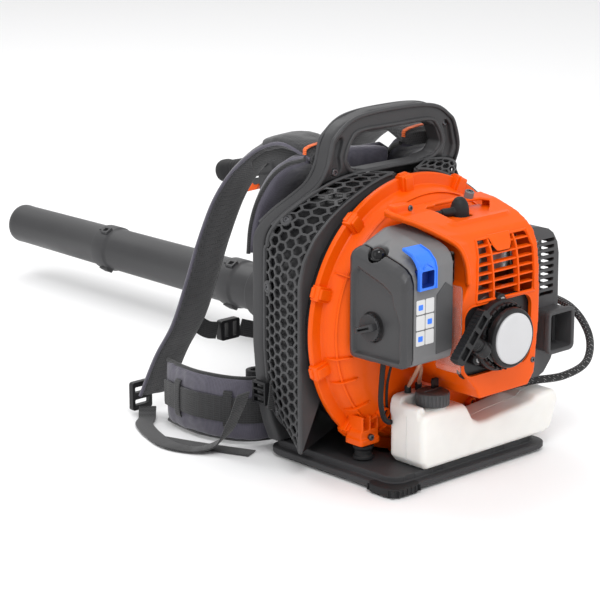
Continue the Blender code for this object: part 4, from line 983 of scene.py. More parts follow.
def engine_shroud():
    body = shroud_solid(0.0)
    boolean(body, shroud_solid(0.0032))
    boolean(body, prism("window", cooling_window(0.0), "xz", -0.18, -0.118))
    boolean(body, block("starter", (-0.06, -0.18, 0.15), (0.069, -0.148, 0.244), None, 0.018))
    boolean(body, block("boot", (-0.026, -0.112, 0.335), (0.026, -0.062, 0.38), None, 0.01, "xy"))
    boolean(body, block("exhaust", (0.06, -0.116, 0.24), (0.1, -0.062, 0.312)))
    boolean(body, block("intake", (-0.08, -0.126, 0.244), (-0.03, -0.06, 0.312)))
    pieces = [body]
    # pocket walls round the boot, ribs on the top, tab on the left wing
    pieces.append(block("shelf", (-0.046, -0.1165, 0.34), (0.07, -0.06, 0.3472), None, 0.01, "xy"))
    pieces.append(block("tab", (-0.102, -0.072, 0.356), (-0.07, -0.0545, 0.3705), None, 0.004, "xy"))
    brow = [(-0.106, -0.056, 0.361), (-0.106, -0.074, 0.3585), (-0.093, -0.102, 0.3505), (-0.0765, -0.13, 0.3375),
        (-0.065, -0.146, 0.3265), (-0.058, -0.151, 0.313), (-0.054, -0.154, 0.295), (-0.053, -0.155, 0.275)]
    lean = Vector((0.8, -0.3, 0.25))
    pieces.append(strap("brow", brow, lean, rounded((0.0, 0.0), (0.0058, 0.01), 0.0018, 3), None, 90))
    inside = [(-0.04, -0.056, 0.361), (-0.04, -0.074, 0.3585), (-0.04, -0.102, 0.349), (-0.04, -0.13, 0.335),
        (-0.04, -0.142, 0.3245), (-0.04, -0.15, 0.308), (-0.04, -0.1525, 0.293), (-0.04, -0.1535, 0.275)]
    web = []
    for a, b in zip(brow, inside):
        a, b = Vector(a), Vector(b)
        drop = Vector((0, 0.0015, -0.0038)) if a.z > 0.32 else Vector((0, 0.0042, -0.0005))
        web.append([a, b, b + drop, a + drop])
    pieces.append(loft("web", web))
    pocket = [(-0.044, -0.07), (-0.036, -0.064), (0.056, -0.072), (0.064, -0.082), (0.03, -0.112),
        (-0.026, -0.1135)]
    shell = moulded("shroud_moulding", pieces, "orange", 0.0014, 3, [prism("pocket", pocket, "xy", 0.3472, 0.38),
        block("boot", (-0.014, -0.103, 0.335), (0.014, -0.073, 0.38), None, 0.01, "xy")])
    finish(shell, "frame", "orange_plastic", "engine_shroud")
    ring = cooling_window(0.0022)

    def face(p, lift_by=0.0):
        x, z = p
        side = shroud_side(0.0)
        y = between(z, sorted(((b, a) for a, b in side[3:]), key=lambda q: q[0]))
        return Vector((x, y - lift_by, z))
    fine = []
    for a, b in zip(ring, ring[1:] + ring[:1]):
        fine += [(a[0] + (b[0] - a[0]) * k / 12, a[1] + (b[1] - a[1]) * k / 12) for k in range(12)]
    finish(pipe("window_rim", [face(p, 0.0002) for p in fine], 0.0016, "orange", 0, 8, closed=True), "frame",
        "orange_plastic")
    # slats of the cooling window, sloping back as the shell does
    slats = []
    for number in range(6):
        z = 0.259 + 0.0116 * number
        left = between(z, ((0.25, -0.0365), (0.276, -0.0335), (0.3, -0.0305), (0.324, -0.0245)))
        right = between(z, ((0.248, 0.0715), (0.3, 0.0738), (0.324, 0.0685)))
        y = face((0, z)).y + 0.001
        slats.append(block("slat", (left - 0.001, y, z - 0.0012), (right + 0.001, y + 0.009, z + 0.0012), None,
            0.0))
    for x in (-0.004, 0.044):
        rings = []
        for z in (0.2485, 0.27, 0.29, 0.31, 0.318, 0.3245):
            y = face((0, z)).y
            rings.append([(x - 0.0016, y - 0.0004, z), (x + 0.0016, y - 0.0004, z), (x + 0.0016, y + 0.0085, z),
                (x - 0.0016, y + 0.0085, z)])
        slats.append(loft("post", rings))
    finish(soften(merged("window_slats", slats, "orange"), 0.0006), "frame", "orange_plastic")
    tab = loft("window_tab", [[face((x, z), out) for x, out in ((-0.002 + d, 0.0), (0.039 - d, 0.0),
        (0.036 - d, 0.0022), (0.001 + d, 0.0022))] for z, d in ((0.329, -0.002), (0.325, 0.0), (0.315, 0.003),
        (0.3085, 0.008))], "orange")
    finish(soften(tab, 0.0007), "frame", "orange_plastic")
    # stepped edge of the starter recess
    width, height, corner, y, depth = 0.132, 0.097, 0.0185, -0.1566, 0.006
    outer = rounded((0.0045, 0.197), (width, height), corner, 8)
    inside = rounded((0.0045, 0.197), (width - 0.0045, height - 0.0045), corner - 0.002, 8)
    rings = [[(x, y, z) for x, z in outer], [(x, y, z) for x, z in inside], [(x, y + depth, z) for x, z in inside],
        [(x, y + depth, z) for x, z in outer]]
    finish(soften(loft("recess_step_b", rings, "orange", closed=True), 0.0006), "frame", "orange_plastic")
    screw("tab_screw", (-0.076, -0.0722, 0.365), (0, -1, 0), 0.004)
    sleeve = turned("screw_sleeve", ((0.0064, 0.0), (0.0064, 0.012), (0.0056, 0.0128), (0.0046, 0.0128),
        (0.0046, 0.004), (0.0, 0.004)), (0.042, -0.063, 0.357), (0, -0.3, 1), "mid", 28)
    finish(soften(sleeve), "frame", "dark_plastic")
    screw("sleeve_screw", (0.042, -0.0662, 0.368), (0, -0.3, 1), 0.0042)
    screw("front_screw_b", (0.074, -0.156, 0.15), (0, -1, 0), 0.004)


def boot():
    dome = ((0.0118, 0.0), (0.0126, 0.002), (0.0126, 0.012), (0.0118, 0.018), (0.01, 0.0235), (0.007, 0.028),
        (0.0035, 0.0302), (0.0006, 0.0306))
    pieces = [turned("dome", dome, (0, -0.088, 0.3408), (0, 0, 1), None, 40),
        turned("tail", ((0.006, 0.0), (0.0056, 0.02), (0.0046, 0.026)), (-0.004, -0.088, 0.352), (-1, 0.18, 0.06),
        None, 24), turned("collar", ((0.013, 0.0), (0.0134, 0.001), (0.0134, 0.004), (0.0126, 0.005)),
        (0, -0.088, 0.3408), (0, 0, 1), None, 40)]
    finish(moulded("plug_boot", pieces, "rubber", 0.0009, 3), "frame", "rubber", "spark_plug_boot")
    route = [(-0.026, -0.084, 0.3536), (-0.04, -0.08, 0.353), (-0.052, -0.072, 0.348), (-0.056, -0.064, 0.34)]
    finish(pipe("plug_lead", route, 0.003, "rubber", 30, 14), "frame", "rubber")


# -------------------------------------------------------------- starter

def rope_point(along, y=-0.178):
    point = ROPE_START + ROPE * along
    return Vector((point.x, y, point.z))


def starter():
    """Recoil starter with its rope and T-handle."""
    housing = [(0.044, -0.15), (0.0475, -0.15), (0.0475, -0.166), (0.0465, -0.1672), (0.044, -0.1676),
        (0.0438, -0.1735), (0.0425, -0.175), (0.0405, -0.1768), (0.0398, -0.185), (0.039, -0.1868),
        (0.0375, -0.1882), (0.0352, -0.1882), (0.035, -0.1868), (0.01, -0.1868), (0.01, -0.185), (0.036, -0.185),
        (0.042, -0.1745), (0.044, -0.153)]
    body = turned("starter_cup", housing, CRANK, (0, 1, 0), None, 96, hollow=True)
    mouth = turned("rope_eye", ((0.01, 0.0), (0.011, 0.002), (0.011, 0.014), (0.0095, 0.0162)), rope_point(0.0258),
        ROPE, None, 32)
    ears = []
    for angle in (82, 216, 322, 150):
        a = math.radians(angle)
        x, z = 0.0455 * math.cos(a), 0.0455 * math.sin(a)
        if angle != 150:
            ears.append(turned("ear", ((0.0085, 0.0), (0.0085, 0.0085), (0.0075, 0.01)), (x, -0.15, CRANK.z + z),
                (0, -1, 0), None, 28))
    cup = moulded("starter_moulding", [body, mouth] + ears, "black", 0.0009, 2,
        [turned("bore", ((0.0032, 0.0), (0.0032, 0.075)), rope_point(-0.012), ROPE, None, 16)])
    finish(cup, "frame", "black_plastic", "starter_housing")
    for angle in (82, 216, 322):
        a = math.radians(angle)
        screw("starter_screw_%d" % angle, (0.0455 * math.cos(a), -0.1604, CRANK.z + 0.0455 * math.sin(a)),
            (0, -1, 0), 0.0046, mat="steel")
    ribs = []
    for i in range(28):
        a = math.tau * i / 28
        rib = block("rib", (-0.0009, -0.1764, 0.0405), (0.0009, -0.168, 0.0445))
        rib.data.transform(Matrix.Translation(CRANK) @ Matrix.Rotation(a, 4, "Y"))
        ribs.append(rib)
    finish(soften(merged("starter_ribs", ribs, "black"), 0.0003), "frame", "black_plastic")
    backing = block("starter_backing", (-0.064, -0.1492, 0.146), (0.072, -0.1474, 0.248), "black", 0.018)
    finish(soften(backing, 0.0004), "frame", "black_plastic")
    disc = ((0.0338, -0.187), (0.0338, -0.1892), (0.0332, -0.19), (0.03, -0.1904), (0.015, -0.1908),
        (0.0008, -0.1909))
    thing = turned("cover_disc", disc, CRANK, (0, 1, 0), "disc", 96)
    finish(soften(thing, 0.0, angle=50), "frame", "silver_plastic", "starter_disc")
    rope = pipe("pull_rope", [rope_point(0.004), rope_point(0.03), rope_point(0.056)], 0.0022, "webbing", 40, 12)
    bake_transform(rope)
    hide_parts("starter_rope")
    # T-bar handle, made lying along X and then turned to the rope
    parts = []
    outline = rounded((0.0, 0.0), (0.078, 0.0162), 0.0045, 6)
    parts.append(prism("bar", outline, "xz", -0.009, 0.004))
    bar = parts[0]
    boolean(bar, merged("pockets", [block("p", (-0.012 + 0.0235 * i - 0.0235 + 0.0035, -0.011, -0.005),
        (0.0085 + 0.0235 * i - 0.0235, -0.0045, 0.005), None, 0.0012) for i in (0, 1, 2)]))
    for i in range(13):
        boolean(bar, block("knurl", (-0.0342 + 0.0057 * i - 0.0007, -0.02, 0.0074),
            (-0.0342 + 0.0057 * i + 0.0007, 0.02, 0.0095)))
    soften(bar, 0.0009)
    frame_of = Matrix((( -ROPE.z, 0.0, ROPE.x, 0.0), (0.0, 1.0, 0.0, 0.0), (ROPE.x, 0.0, ROPE.z, 0.0),
        (0, 0, 0, 1)))
    frame_of = Matrix.Translation(rope_point(0.066)) @ frame_of
    bar.data.transform(frame_of)
    bar.data.materials.append(M["black"])
    finish(bar, "starter_grip", "black_plastic", "starter_handle")
    neck = [(0.0086, 0.0), (0.0092, 0.0015), (0.0084, 0.0032), (0.0092, 0.005), (0.0084, 0.0068), (0.0092, 0.0086),
        (0.0082, 0.0104), (0.0084, 0.0175), (0.003, 0.0175), (0.003, 0.0)]
    finish(soften(turned("grip_neck", neck, rope_point(0.0424), ROPE, "black", 40, hollow=True), 0.0004),
        "starter_grip", "black_plastic")


# ---------------------------------------------------------- exhaust side

def exhaust():
    outline = [(0.0848, 0.104), (0.138, 0.104), (0.148, 0.108), (0.162, 0.124), (0.17, 0.142), (0.174, 0.164),
        (0.1725, 0.272), (0.169, 0.288), (0.16, 0.302), (0.15, 0.309), (0.132, 0.3145), (0.0848, 0.318)]
    inner = [(0.08 if x < 0.09 else x - 0.0028, z + (0.003 if z < 0.2 else -0.003)) for x, z in outline]
    guard = prism("guard", outline, "xz", -0.112, -0.0545)
    boolean(guard, prism("hollow", inner, "xz", -0.1092, -0.0575))
    slots = []
    for i in range(9):
        z = 0.2165 + 0.0092 * i
        start = 0.096 + 0.002 * i
        slots.append(block("slot", (start, -0.125, z), (0.163, -0.1, z + 0.0052), None, 0.0024, "xz"))
        slots.append(block("slot", (0.165, -0.096, z), (0.185, -0.064, z + 0.005)))
    slots.append(block("hole", (0.125, -0.12, 0.147), (0.164, -0.1, 0.195)))
    for i in range(3):
        slots.append(block("slot", (0.152, -0.105, 0.126 + 0.01 * i), (0.185, -0.07, 0.131 + 0.01 * i)))
    boolean(guard, merged("slots", slots))
    guard.data.materials.append(M["guard"])
    soften(guard, 0.0008)
    finish(guard, "frame", "dark_plastic", "muffler_guard")
    sections = ((0.003, -0.1124), (0.0022, -0.115), (0.0022, -0.133), (0.0, -0.135), (0.0, -0.1405),
        (0.0012, -0.142), (0.0048, -0.142), (0.0062, -0.1405), (0.0062, -0.1125))
    rings = [[(x, y, z) for x, z in rounded((0.1485, 0.1725), (0.054 - 2 * inset, 0.061 - 2 * inset),
        max(0.009 - inset, 0.003), 8)] for inset, y in sections]
    duct = loft("exhaust_duct", rings, "guard", closed=True)
    finish(soften(duct, 0.0004, angle=40), "frame", "dark_plastic", "exhaust_outlet")
    ribs = []
    for i in range(5):
        z = 0.154 + 0.0085 * i
        ribs.append(block("rib", (0.1725, -0.1325, z), (0.175, -0.113, z + 0.0022)))
    finish(soften(merged("duct_ribs", ribs, "guard"), 0.0003), "frame", "dark_plastic")
    carry("muffler", "steel", 0.0015)
    for x, z in ((0.098, 0.305), (0.098, 0.116)):
        screw("guard_screw_%d" % round(z * 1000), (x, -0.1122, z), (0, -1, 0), 0.0042)


# ------------------------------------------------------------ air intake

def filter_outline(top, back):
    return [(-0.15, 0.192), (-0.148, 0.184), (-0.142, 0.18), (back - 0.008, 0.178), (back - 0.002, 0.18),
            (back, 0.186), (back, top - 0.01), (back - 0.003, top - 0.003), (back - 0.01, top - 0.0005),
            (-0.1, top - 0.008), (-0.126, top - 0.015), (-0.138, top - 0.02), (-0.146, top - 0.027),
            (-0.15, top - 0.038)]


def air_filter():
    rings = [[(x, y, z) for y, z in filter_outline(top, back)] for x, top, back in ((-0.0755, 0.346, -0.056),
        (-0.109, 0.345, -0.0545), (-0.1462, 0.3285, -0.0526))]
    base = loft("solid", rings)
    cuts = [block("pocket", (-0.16, -0.138, 0.196), (-0.1, -0.07, 0.296), None, 0.006, "yz"),
        turned("recess", ((0.013, 0.0), (0.013, 0.045)), (*PRIMER, 0.302), (0, 0, 1), None, 32),
        turned("groove", ((0.011, 0.0), (0.003, 0.052)), (-0.143, -0.088, 0.335), (1, 0.05, 0.36), None, 32),
        block("hollow", (-0.1395, -0.17, 0.284), (-0.1155, -0.142, 0.3068), None, 0.002),
        block("hinge", (-0.1436, -0.131, 0.3225), (-0.1114, -0.1215, 0.35), None)]
    body = moulded("filter_base", [base], "mid", 0.0013, 3, cuts)
    finish(body, "frame", "mid_grey_plastic", "air_filter_base")
    lips = [[(x, -0.103 + (y + 0.103) * 0.985, 0.258 + (z - 0.258) * 0.985)
        for y, z in filter_outline(0.3285, -0.0526)] for x in (-0.1462, -0.1478)]
    seam = loft("seam_gasket", lips, "black")
    boolean(seam, turned("recess", ((0.013, 0.0), (0.013, 0.045)), (*PRIMER, 0.302), (0, 0, 1), None, 32))
    finish(soften(seam), "frame", "black_plastic")
    rings = [[(x, y, z) for y, z in filter_outline(top, back)] for x, top, back in ((-0.1478, 0.3283, -0.0525),
        (-0.155, 0.324, -0.0482), (-0.159, 0.32, -0.047))]
    rings.append([(-0.163, -0.104 + (y + 0.104) * 0.88, 0.25 + (z - 0.25) * 0.9)
        for y, z in filter_outline(0.3215, -0.0475)])
    cover = loft("solid", rings)
    panel = [(-0.137, 0.19), (-0.06, 0.188), (-0.057, 0.24), (-0.058, 0.286), (-0.066, 0.296), (-0.11, 0.28),
        (-0.122, 0.272), (-0.126, 0.258), (-0.138, 0.236)]
    wide = [(-0.142, 0.186), (-0.054, 0.184), (-0.05, 0.24), (-0.052, 0.292), (-0.064, 0.303), (-0.113, 0.287),
        (-0.128, 0.277), (-0.132, 0.261), (-0.143, 0.24)]
    cuts = [loft("panel", [[(-0.1645, y, z) for y, z in wide], [(-0.1564, y, z) for y, z in panel]]),
        turned("recess", ((0.013, 0.0), (0.013, 0.045)), (*PRIMER, 0.302), (0, 0, 1), None, 32),
        turned("dish", ((0.0206, -0.003), (0.0194, 0.0078)), (-0.1612, *KNOB), (1, 0, 0), None, 40)]
    lid = moulded("filter_cover", [cover], "cover", 0.0012, 3, cuts)
    finish(lid, "frame", "dark_plastic", "air_filter_cover")
    dome = [(0.0112, -0.002), (0.0112, 0.0008), (0.0098, 0.0014), (0.0096, 0.004), (0.0088, 0.0075),
        (0.007, 0.0103), (0.0045, 0.0118), (0.0018, 0.0125), (0.0003, 0.0126)]
    bulb = turned("primer_dome", dome, (*PRIMER, 0.3149), (0, 0, 1), "rubber", 48)
    bulb.data.materials.clear()
    bulb.data.materials.append(M["gloss"])
    finish(soften(bulb, 0.0, angle=60), "primer_bulb", "rubber", "purge_bulb")
    # round knob with a slotted wing lying diagonally
    knob = turned("knob_disc", ((0.0002, 0.0), (0.0174, 0.0), (0.0178, -0.001), (0.0178, -0.0034),
        (0.0168, -0.0046), (0.012, -0.0052), (0.0002, -0.0054)), (-0.1594, *KNOB), (1, 0, 0), "dark", 56)
    for i in range(24):
        angle = math.tau * i / 24
        boolean(knob, turned("notch", ((0.0009, -0.001), (0.0009, 0.01)),
            (-0.167, KNOB[0] + 0.018 * math.cos(angle), KNOB[1] + 0.018 * math.sin(angle)), (1, 0, 0), None, 10))
    finish(soften(knob, 0.0004), "filter_knob", "dark_plastic", "cover_knob")
    wing = block("knob_wing", (-0.174, -0.0044, -0.0165), (-0.163, 0.0044, 0.0165), None, 0.003)
    boolean(wing, block("slot", (-0.18, -0.0012, -0.011), (-0.167, 0.0012, 0.011)))
    wing.data.transform(Matrix.Translation((0, *KNOB)) @ Matrix.Rotation(math.radians(70), 4, "X"))
    wing.data.materials.append(M["dark"])
    finish(soften(wing, 0.0008), "filter_knob", "dark_plastic")
    # blank panel where the maker puts a picture label
    tiles = []
    for row in range(3):
        for column in range(2):
            x, z = -0.1425 + 0.0165 * column, 0.2085 + 0.0205 * row
            tiles.append(block("tile", (x, -0.1507, z), (x + 0.0153, -0.1496, z + 0.0188), None, 0.0018))
    finish(soften(merged("blank_panel", tiles, "label"), 0.0002), "frame", "silver_plastic")
    marks = [block("mark", (-0.1425 + 0.0165 * column + 0.0035, -0.151, 0.2085 + 0.0205 * row + 0.0055),
        (-0.1425 + 0.0165 * column + 0.0115, -0.1505, 0.2085 + 0.0205 * row + 0.0125), None, 0.001)
        for row, column in ((0, 0), (2, 0), (1, 1))]
    finish(soften(merged("panel_marks", marks, "blue"), 0.0001), "frame", "blue_plastic")
    step = [(x, z) for x, z in ((-0.106, 0.192), (-0.077, 0.194), (-0.077, 0.276), (-0.09, 0.284), (-0.106, 0.27))]
    finish(soften(prism("front_step", step, "xz", -0.1512, -0.149, "cover"), 0.0006), "frame", "dark_plastic")


def choke():
    ax, ay, az = -0.1275, -0.128, 0.3275
    parts = []
    profile = [(ay + 0.004, az + 0.0012), (-0.14, 0.3225), (-0.1495, 0.313), (-0.1516, 0.306), (-0.1516, 0.2815),
        (-0.156, 0.2815), (-0.156, 0.307), (-0.153, 0.316), (-0.1425, 0.3262), (ay + 0.004, az + 0.0048)]
    lever = prism("lever", profile, "yz", ax - 0.015, ax + 0.015)
    boolean(lever, block("hole", (ax - 0.0112, -0.17, 0.2848), (ax + 0.0112, -0.14, 0.306), None, 0.002))
    soften(lever, 0.001)
    lever.data.materials.append(M["blue"])
    parts.append(bake(lever))
    for x in (ax - 0.0156, ax + 0.014):
        cheek = prism("cheek", [(-0.1516, 0.2815), (-0.1574, 0.2815), (-0.1574, 0.308), (-0.154, 0.3176),
            (-0.143, 0.328), (ay + 0.002, az + 0.006), (ay + 0.002, az + 0.002), (-0.1425, 0.324),
            (-0.1516, 0.308)], "yz", x, x + 0.0016)
        parts.append(bake(soften(cheek, 0.0005)))
    for a, b in (((-0.0092, 0.3095), (-0.0012, 0.318)), ((-0.0002, 0.3145), (0.0086, 0.3095))):
        ridge = loft("ridge", [[(ax + a[0] + dx, -0.1572 + (0.0024 if z > 0.312 else 0.0), z)
            for dx, z in ((0, a[1]), (0.001, a[1] + 0.001))] + [(ax + a[0] + dx, -0.1545, z)
            for dx, z in ((0.001, a[1] + 0.001), (0, a[1]))], [(ax + b[0] + dx,
            -0.1572 + (0.0024 if z > 0.312 else 0.0), z) for dx, z in ((0, b[1]),
            (0.001, b[1] + 0.001))] + [(ax + b[0] + dx, -0.1545, z) for dx, z in ((0.001, b[1] + 0.001),
            (0, b[1]))]])
        parts.append(ridge)
    whole = merged("choke_lever_detail", parts, "blue")
    whole.data.shade_smooth()
    whole.data.set_sharp_from_angle(angle=math.radians(35))
    finish(whole, "choke", "blue_plastic", "choke_lever")
    outer = rounded((ax, 0.2954), (0.0226, 0.0214), 0.002, 4)
    inner = rounded((ax, 0.2954), (0.0208, 0.0196), 0.002, 4)
    # the hollow's walls and floor use the darker blue, painted shade for blue plastic in shadow
    cup = loft("choke_hollow", [[(x, -0.156, z) for x, z in outer], [(x, -0.148, z) for x, z in outer],
        [(x, -0.1435, z) for x, z in outer], [(x, -0.1445, z) for x, z in inner],
        [(x, -0.156, z) for x, z in inner]], "painted_shade_blue", caps=False)
    cup.data.materials.clear()
    cup.data.materials.append(M["painted_shade_blue"])
    finish(soften(cup), "choke", "blue_plastic")
    back = block("choke_hollow_floor", (ax - 0.0106, -0.145, 0.2854), (ax + 0.0106, -0.1438, 0.3054), "painted_shade_blue")
    finish(soften(back, 0.0003), "choke", "blue_plastic")
    shield = block("clear_strip", (-0.0722, -0.162, 0.16), (-0.0708, -0.118, 0.276), "shield", 0.004, "yz")
    finish(soften(shield, 0.0003), "frame", "clear_plastic", "splash_shield")


# ---------------------------------------------------------------- fuel

def fuel_tank():
    """Tank, seam and filler cap."""
    outline = [(-0.086, 0.0224), (0.146, 0.0224), (0.156, 0.026), (0.163, 0.036), (0.1725, 0.066), (0.171, 0.0755),
        (0.164, 0.081), (0.146, 0.082), (0.128, 0.08), (0.118, 0.074), (0.05, 0.069), (0.03, 0.0665),
        (0.014, 0.0675), (0.002, 0.074), (-0.009, 0.092), (-0.015, 0.0975), (-0.024, 0.0992), (-0.08, 0.0992),
        (-0.09, 0.0965), (-0.0942, 0.09), (-0.0942, 0.032)]
    solid = prism("solid", outline, "xz", -0.12, -0.056)
    step = solid.modifiers.new("round", "BEVEL")
    step.width = 0.007
    step.segments = 4
    step.limit_method = "ANGLE"
    step.angle_limit = math.radians(60)
    neck = turned("neck", ((0.0185, -0.01), (0.0185, 0.0025), (0.0172, 0.0034)), (-0.055, -0.097, 0.099), (0, 0, 1),
        None, 40)
    shoulder = [block("shoulder", (-0.0925, -0.0745, 0.085), (-0.018, -0.0562, 0.114), None, 0.01),
        block("shoulder", (-0.0938, -0.108, 0.085), (-0.08, -0.0565, 0.106), None, 0.006)]
    tank = moulded("tank_moulding", [solid, neck] + shoulder, "tank", 0.0015, 5)
    finish(tank, "frame", "tank_plastic", "fuel_tank")
    seam = [(x, z) for x, z in outline]
    way = [Vector((x, -0.088, z)) for x, z in seam]
    fine = []
    for a, b in zip(way, way[1:] + way[:1]):
        fine += [a.lerp(b, k / 8) for k in range(8)]
    finish(pipe("tank_seam", fine, 0.0006, "tank", 0, 8, closed=True), "frame", "tank_plastic")
    profile = [(0.0002, 0.0), (0.022, 0.0), (0.0225, 0.001), (0.0229, 0.015), (0.0218, 0.0172), (0.019, 0.0186),
        (0.015, 0.0192), (0.0002, 0.0192)]
    cap = turned("cap_shell", profile, (-0.055, -0.097, 0.1024), (0, 0, 1), None, 96)
    grooves = []
    for i in range(26):
        a = math.tau * i / 26
        grooves.append(turned("groove", ((0.0015, 0.002), (0.0015, 0.02)),
            (-0.055 + 0.0232 * math.cos(a), -0.097 + 0.0232 * math.sin(a), 0.1024), (0, 0, 1), None, 10))
    boolean(cap, merged("grooves", grooves))
    cap.data.materials.append(M["cover"])
    finish(soften(cap, 0.0004), "filler_cap", "dark_plastic", "fuel_cap")
    bar = block("cap_bar", (-0.07, -0.0992, 0.1204), (-0.04, -0.0958, 0.1232), "cover", 0.0012)
    finish(soften(bar, 0.0006), "filler_cap", "dark_plastic")
    tab = block("cap_tab", (-0.05, -0.093, 0.118), (-0.039, -0.0885, 0.1345), "black", 0.003)
    finish(soften(tab, 0.0008), "filler_cap", "black_plastic")


# --------------------------------------------------------------- tubes

def round_tube(name, outer, mat, wall=0.0025, steps=96):
    profile = list(outer) + [(radius - wall, y) for radius, y in reversed(outer)]
    return turned(name, profile, TUBE, (0, 1, 0), mat, steps, hollow=True)


def blower_tube():
    outer, inner = [], []
    for i in range(25):
        turn = math.pi / 2 * i / 24
        centre = Vector((0.166 + 0.046 * math.sin(turn), 0.047 + 0.046 * (1 - math.cos(turn)), 0.088))
        forward = Vector((math.cos(turn), math.sin(turn), 0.0))
        side = forward.cross(Vector((0, 0, 1)))
        ridge = 0.0012 if i % 6 == 3 else 0.0
        for rings, radius in ((outer, 0.041 + ridge), (inner, 0.0365)):
            rings.append([centre + radius * (side * math.cos(math.tau * k / 64) + Vector((0, 0,
                1)) * math.sin(math.tau * k / 64)) for k in range(64)])
    last = Vector((0.0, 0.1041 - outer[-1][0].y, 0.0))
    outer.append([p + last for p in outer[-1]])
    inner.append([p + last for p in inner[-1]])
    finish(soften(loft("duct_elbow", outer + inner[::-1], "dark", closed=True), 0.0), "elbow_unit", "dark_plastic",
        "elbow")
    start, end, folds = 0.1045, 0.255, 11
    stations = [(0.0413, start), (0.0413, start + 0.013)]
    pitch = (end - start - 0.026) / folds
    for i in range(folds):
        for k, radius in ((0.05, 0.0385), (0.2, 0.0378), (0.35, 0.0392), (0.5, 0.0425), (0.62, 0.044),
                (0.76, 0.044), (0.9, 0.0422)):
            stations.append((radius, start + 0.013 + pitch * (i + k)))
    stations += [(0.0413, end - 0.013), (0.0413, end)]
    hose = round_tube("flex_hose", stations, "rubber", 0.0022, 64)
    soften(hose, 0.0, angle=60)
    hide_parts("bellows")
    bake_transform(hose)
    for node, y in (("clamp_inner", 0.1085), ("clamp_outer", 0.244)):
        ring = [(0.0418, y), (0.0445, y), (0.0449, y + 0.0008), (0.0449, y + 0.0062), (0.0445, y + 0.007),
            (0.0418, y + 0.007)]
        clamp = turned(node + "_ring", ring, TUBE, (0, 1, 0), "steel", 72, hollow=True)
        body = "elbow_unit" if node == "clamp_inner" else "swivel"
        finish(soften(clamp), body, "steel", node)
        box = block(node + "_worm", (0.2, y - 0.001, 0.131), (0.216, y + 0.008, 0.14), "steel", 0.002)
        finish(soften(box, 0.0006), body, "steel")
        screw(node + "_screw", (0.1995, y + 0.0035, 0.1355), (-1, 0, 0), 0.0036, body)
    a, b, c, d = 0.2555, 0.61, 0.935, 1.178
    control = [(0.0395, a), (0.0405, a + 0.001), (0.0405, a + 0.01), (0.0398, a + 0.0125), (0.0372, a + 0.014),
        (0.037, a + 0.016), (0.037, b - 0.04), (0.0372, b - 0.0345), (0.039, b - 0.0325), (0.0396, b - 0.03),
        (0.0396, b - 0.003), (0.039, b - 0.001), (0.0378, b - 0.0006)]
    finish(soften(round_tube("tube_first", control, "tube"), 0.0, angle=50), "tube", "dark_plastic", "control_tube")
    middle = [(0.0372, b), (0.0372, b + 0.004), (0.0364, b + 0.006), (0.0354, c - 0.04), (0.0357, c - 0.0345),
        (0.0372, c - 0.0325), (0.0379, c - 0.03), (0.0379, c - 0.003), (0.0374, c - 0.001), (0.036, c - 0.0006)]
    finish(soften(round_tube("tube_second", middle, "tube"), 0.0, angle=50), "tube", "dark_plastic", "middle_tube")
    last = [(0.0352, c), (0.0352, c + 0.004), (0.0346, c + 0.006), (0.0332, d - 0.02), (0.0334, d - 0.012),
        (0.0336, d - 0.004), (0.033, d - 0.0008), (0.0318, d)]
    finish(soften(round_tube("tube_last", last, "tube"), 0.0, angle=50), "tube", "dark_plastic", "nozzle")
    lugs = []
    for y, radius in ((b - 0.03, 0.0392), (c - 0.03, 0.0376)):
        for i in range(3):
            turn = Matrix.Translation(TUBE) @ Matrix.Rotation(math.tau * i / 3 - 0.5, 4, "Y")
            lug = block("lug", (-0.0075, y - 0.001, radius - 0.003), (0.0075, y + 0.016, radius + 0.0042), None,
                0.002)
            boolean(lug, block("slot", (-0.0035, y + 0.003, radius), (0.0035, y + 0.012, radius + 0.01)))
            lug.data.transform(turn)
            rib = block("rib", (-0.0015, y + 0.014, radius - 0.003), (0.0015, y + 0.026, radius + 0.0026))
            rib.data.transform(turn)
            lugs += [lug, rib]
    finish(soften(merged("tube_lugs", lugs, "tube"), 0.0007), "tube", "dark_plastic")


# ------------------------------------------------------- control handle

def tilt(point):
    return GRIP_CENTRE + GRIP_TURN @ Vector(point)


def grip_loft(name, stations, mat=None, steps=40):
    rings = []
    for y, half_x, half_z, middle in stations:
        rings.append([tilt((half_x * math.cos(math.tau * k / steps), y,
            middle + half_z * math.sin(math.tau * k / steps))) for k in range(steps)])
    return loft(name, rings, mat)


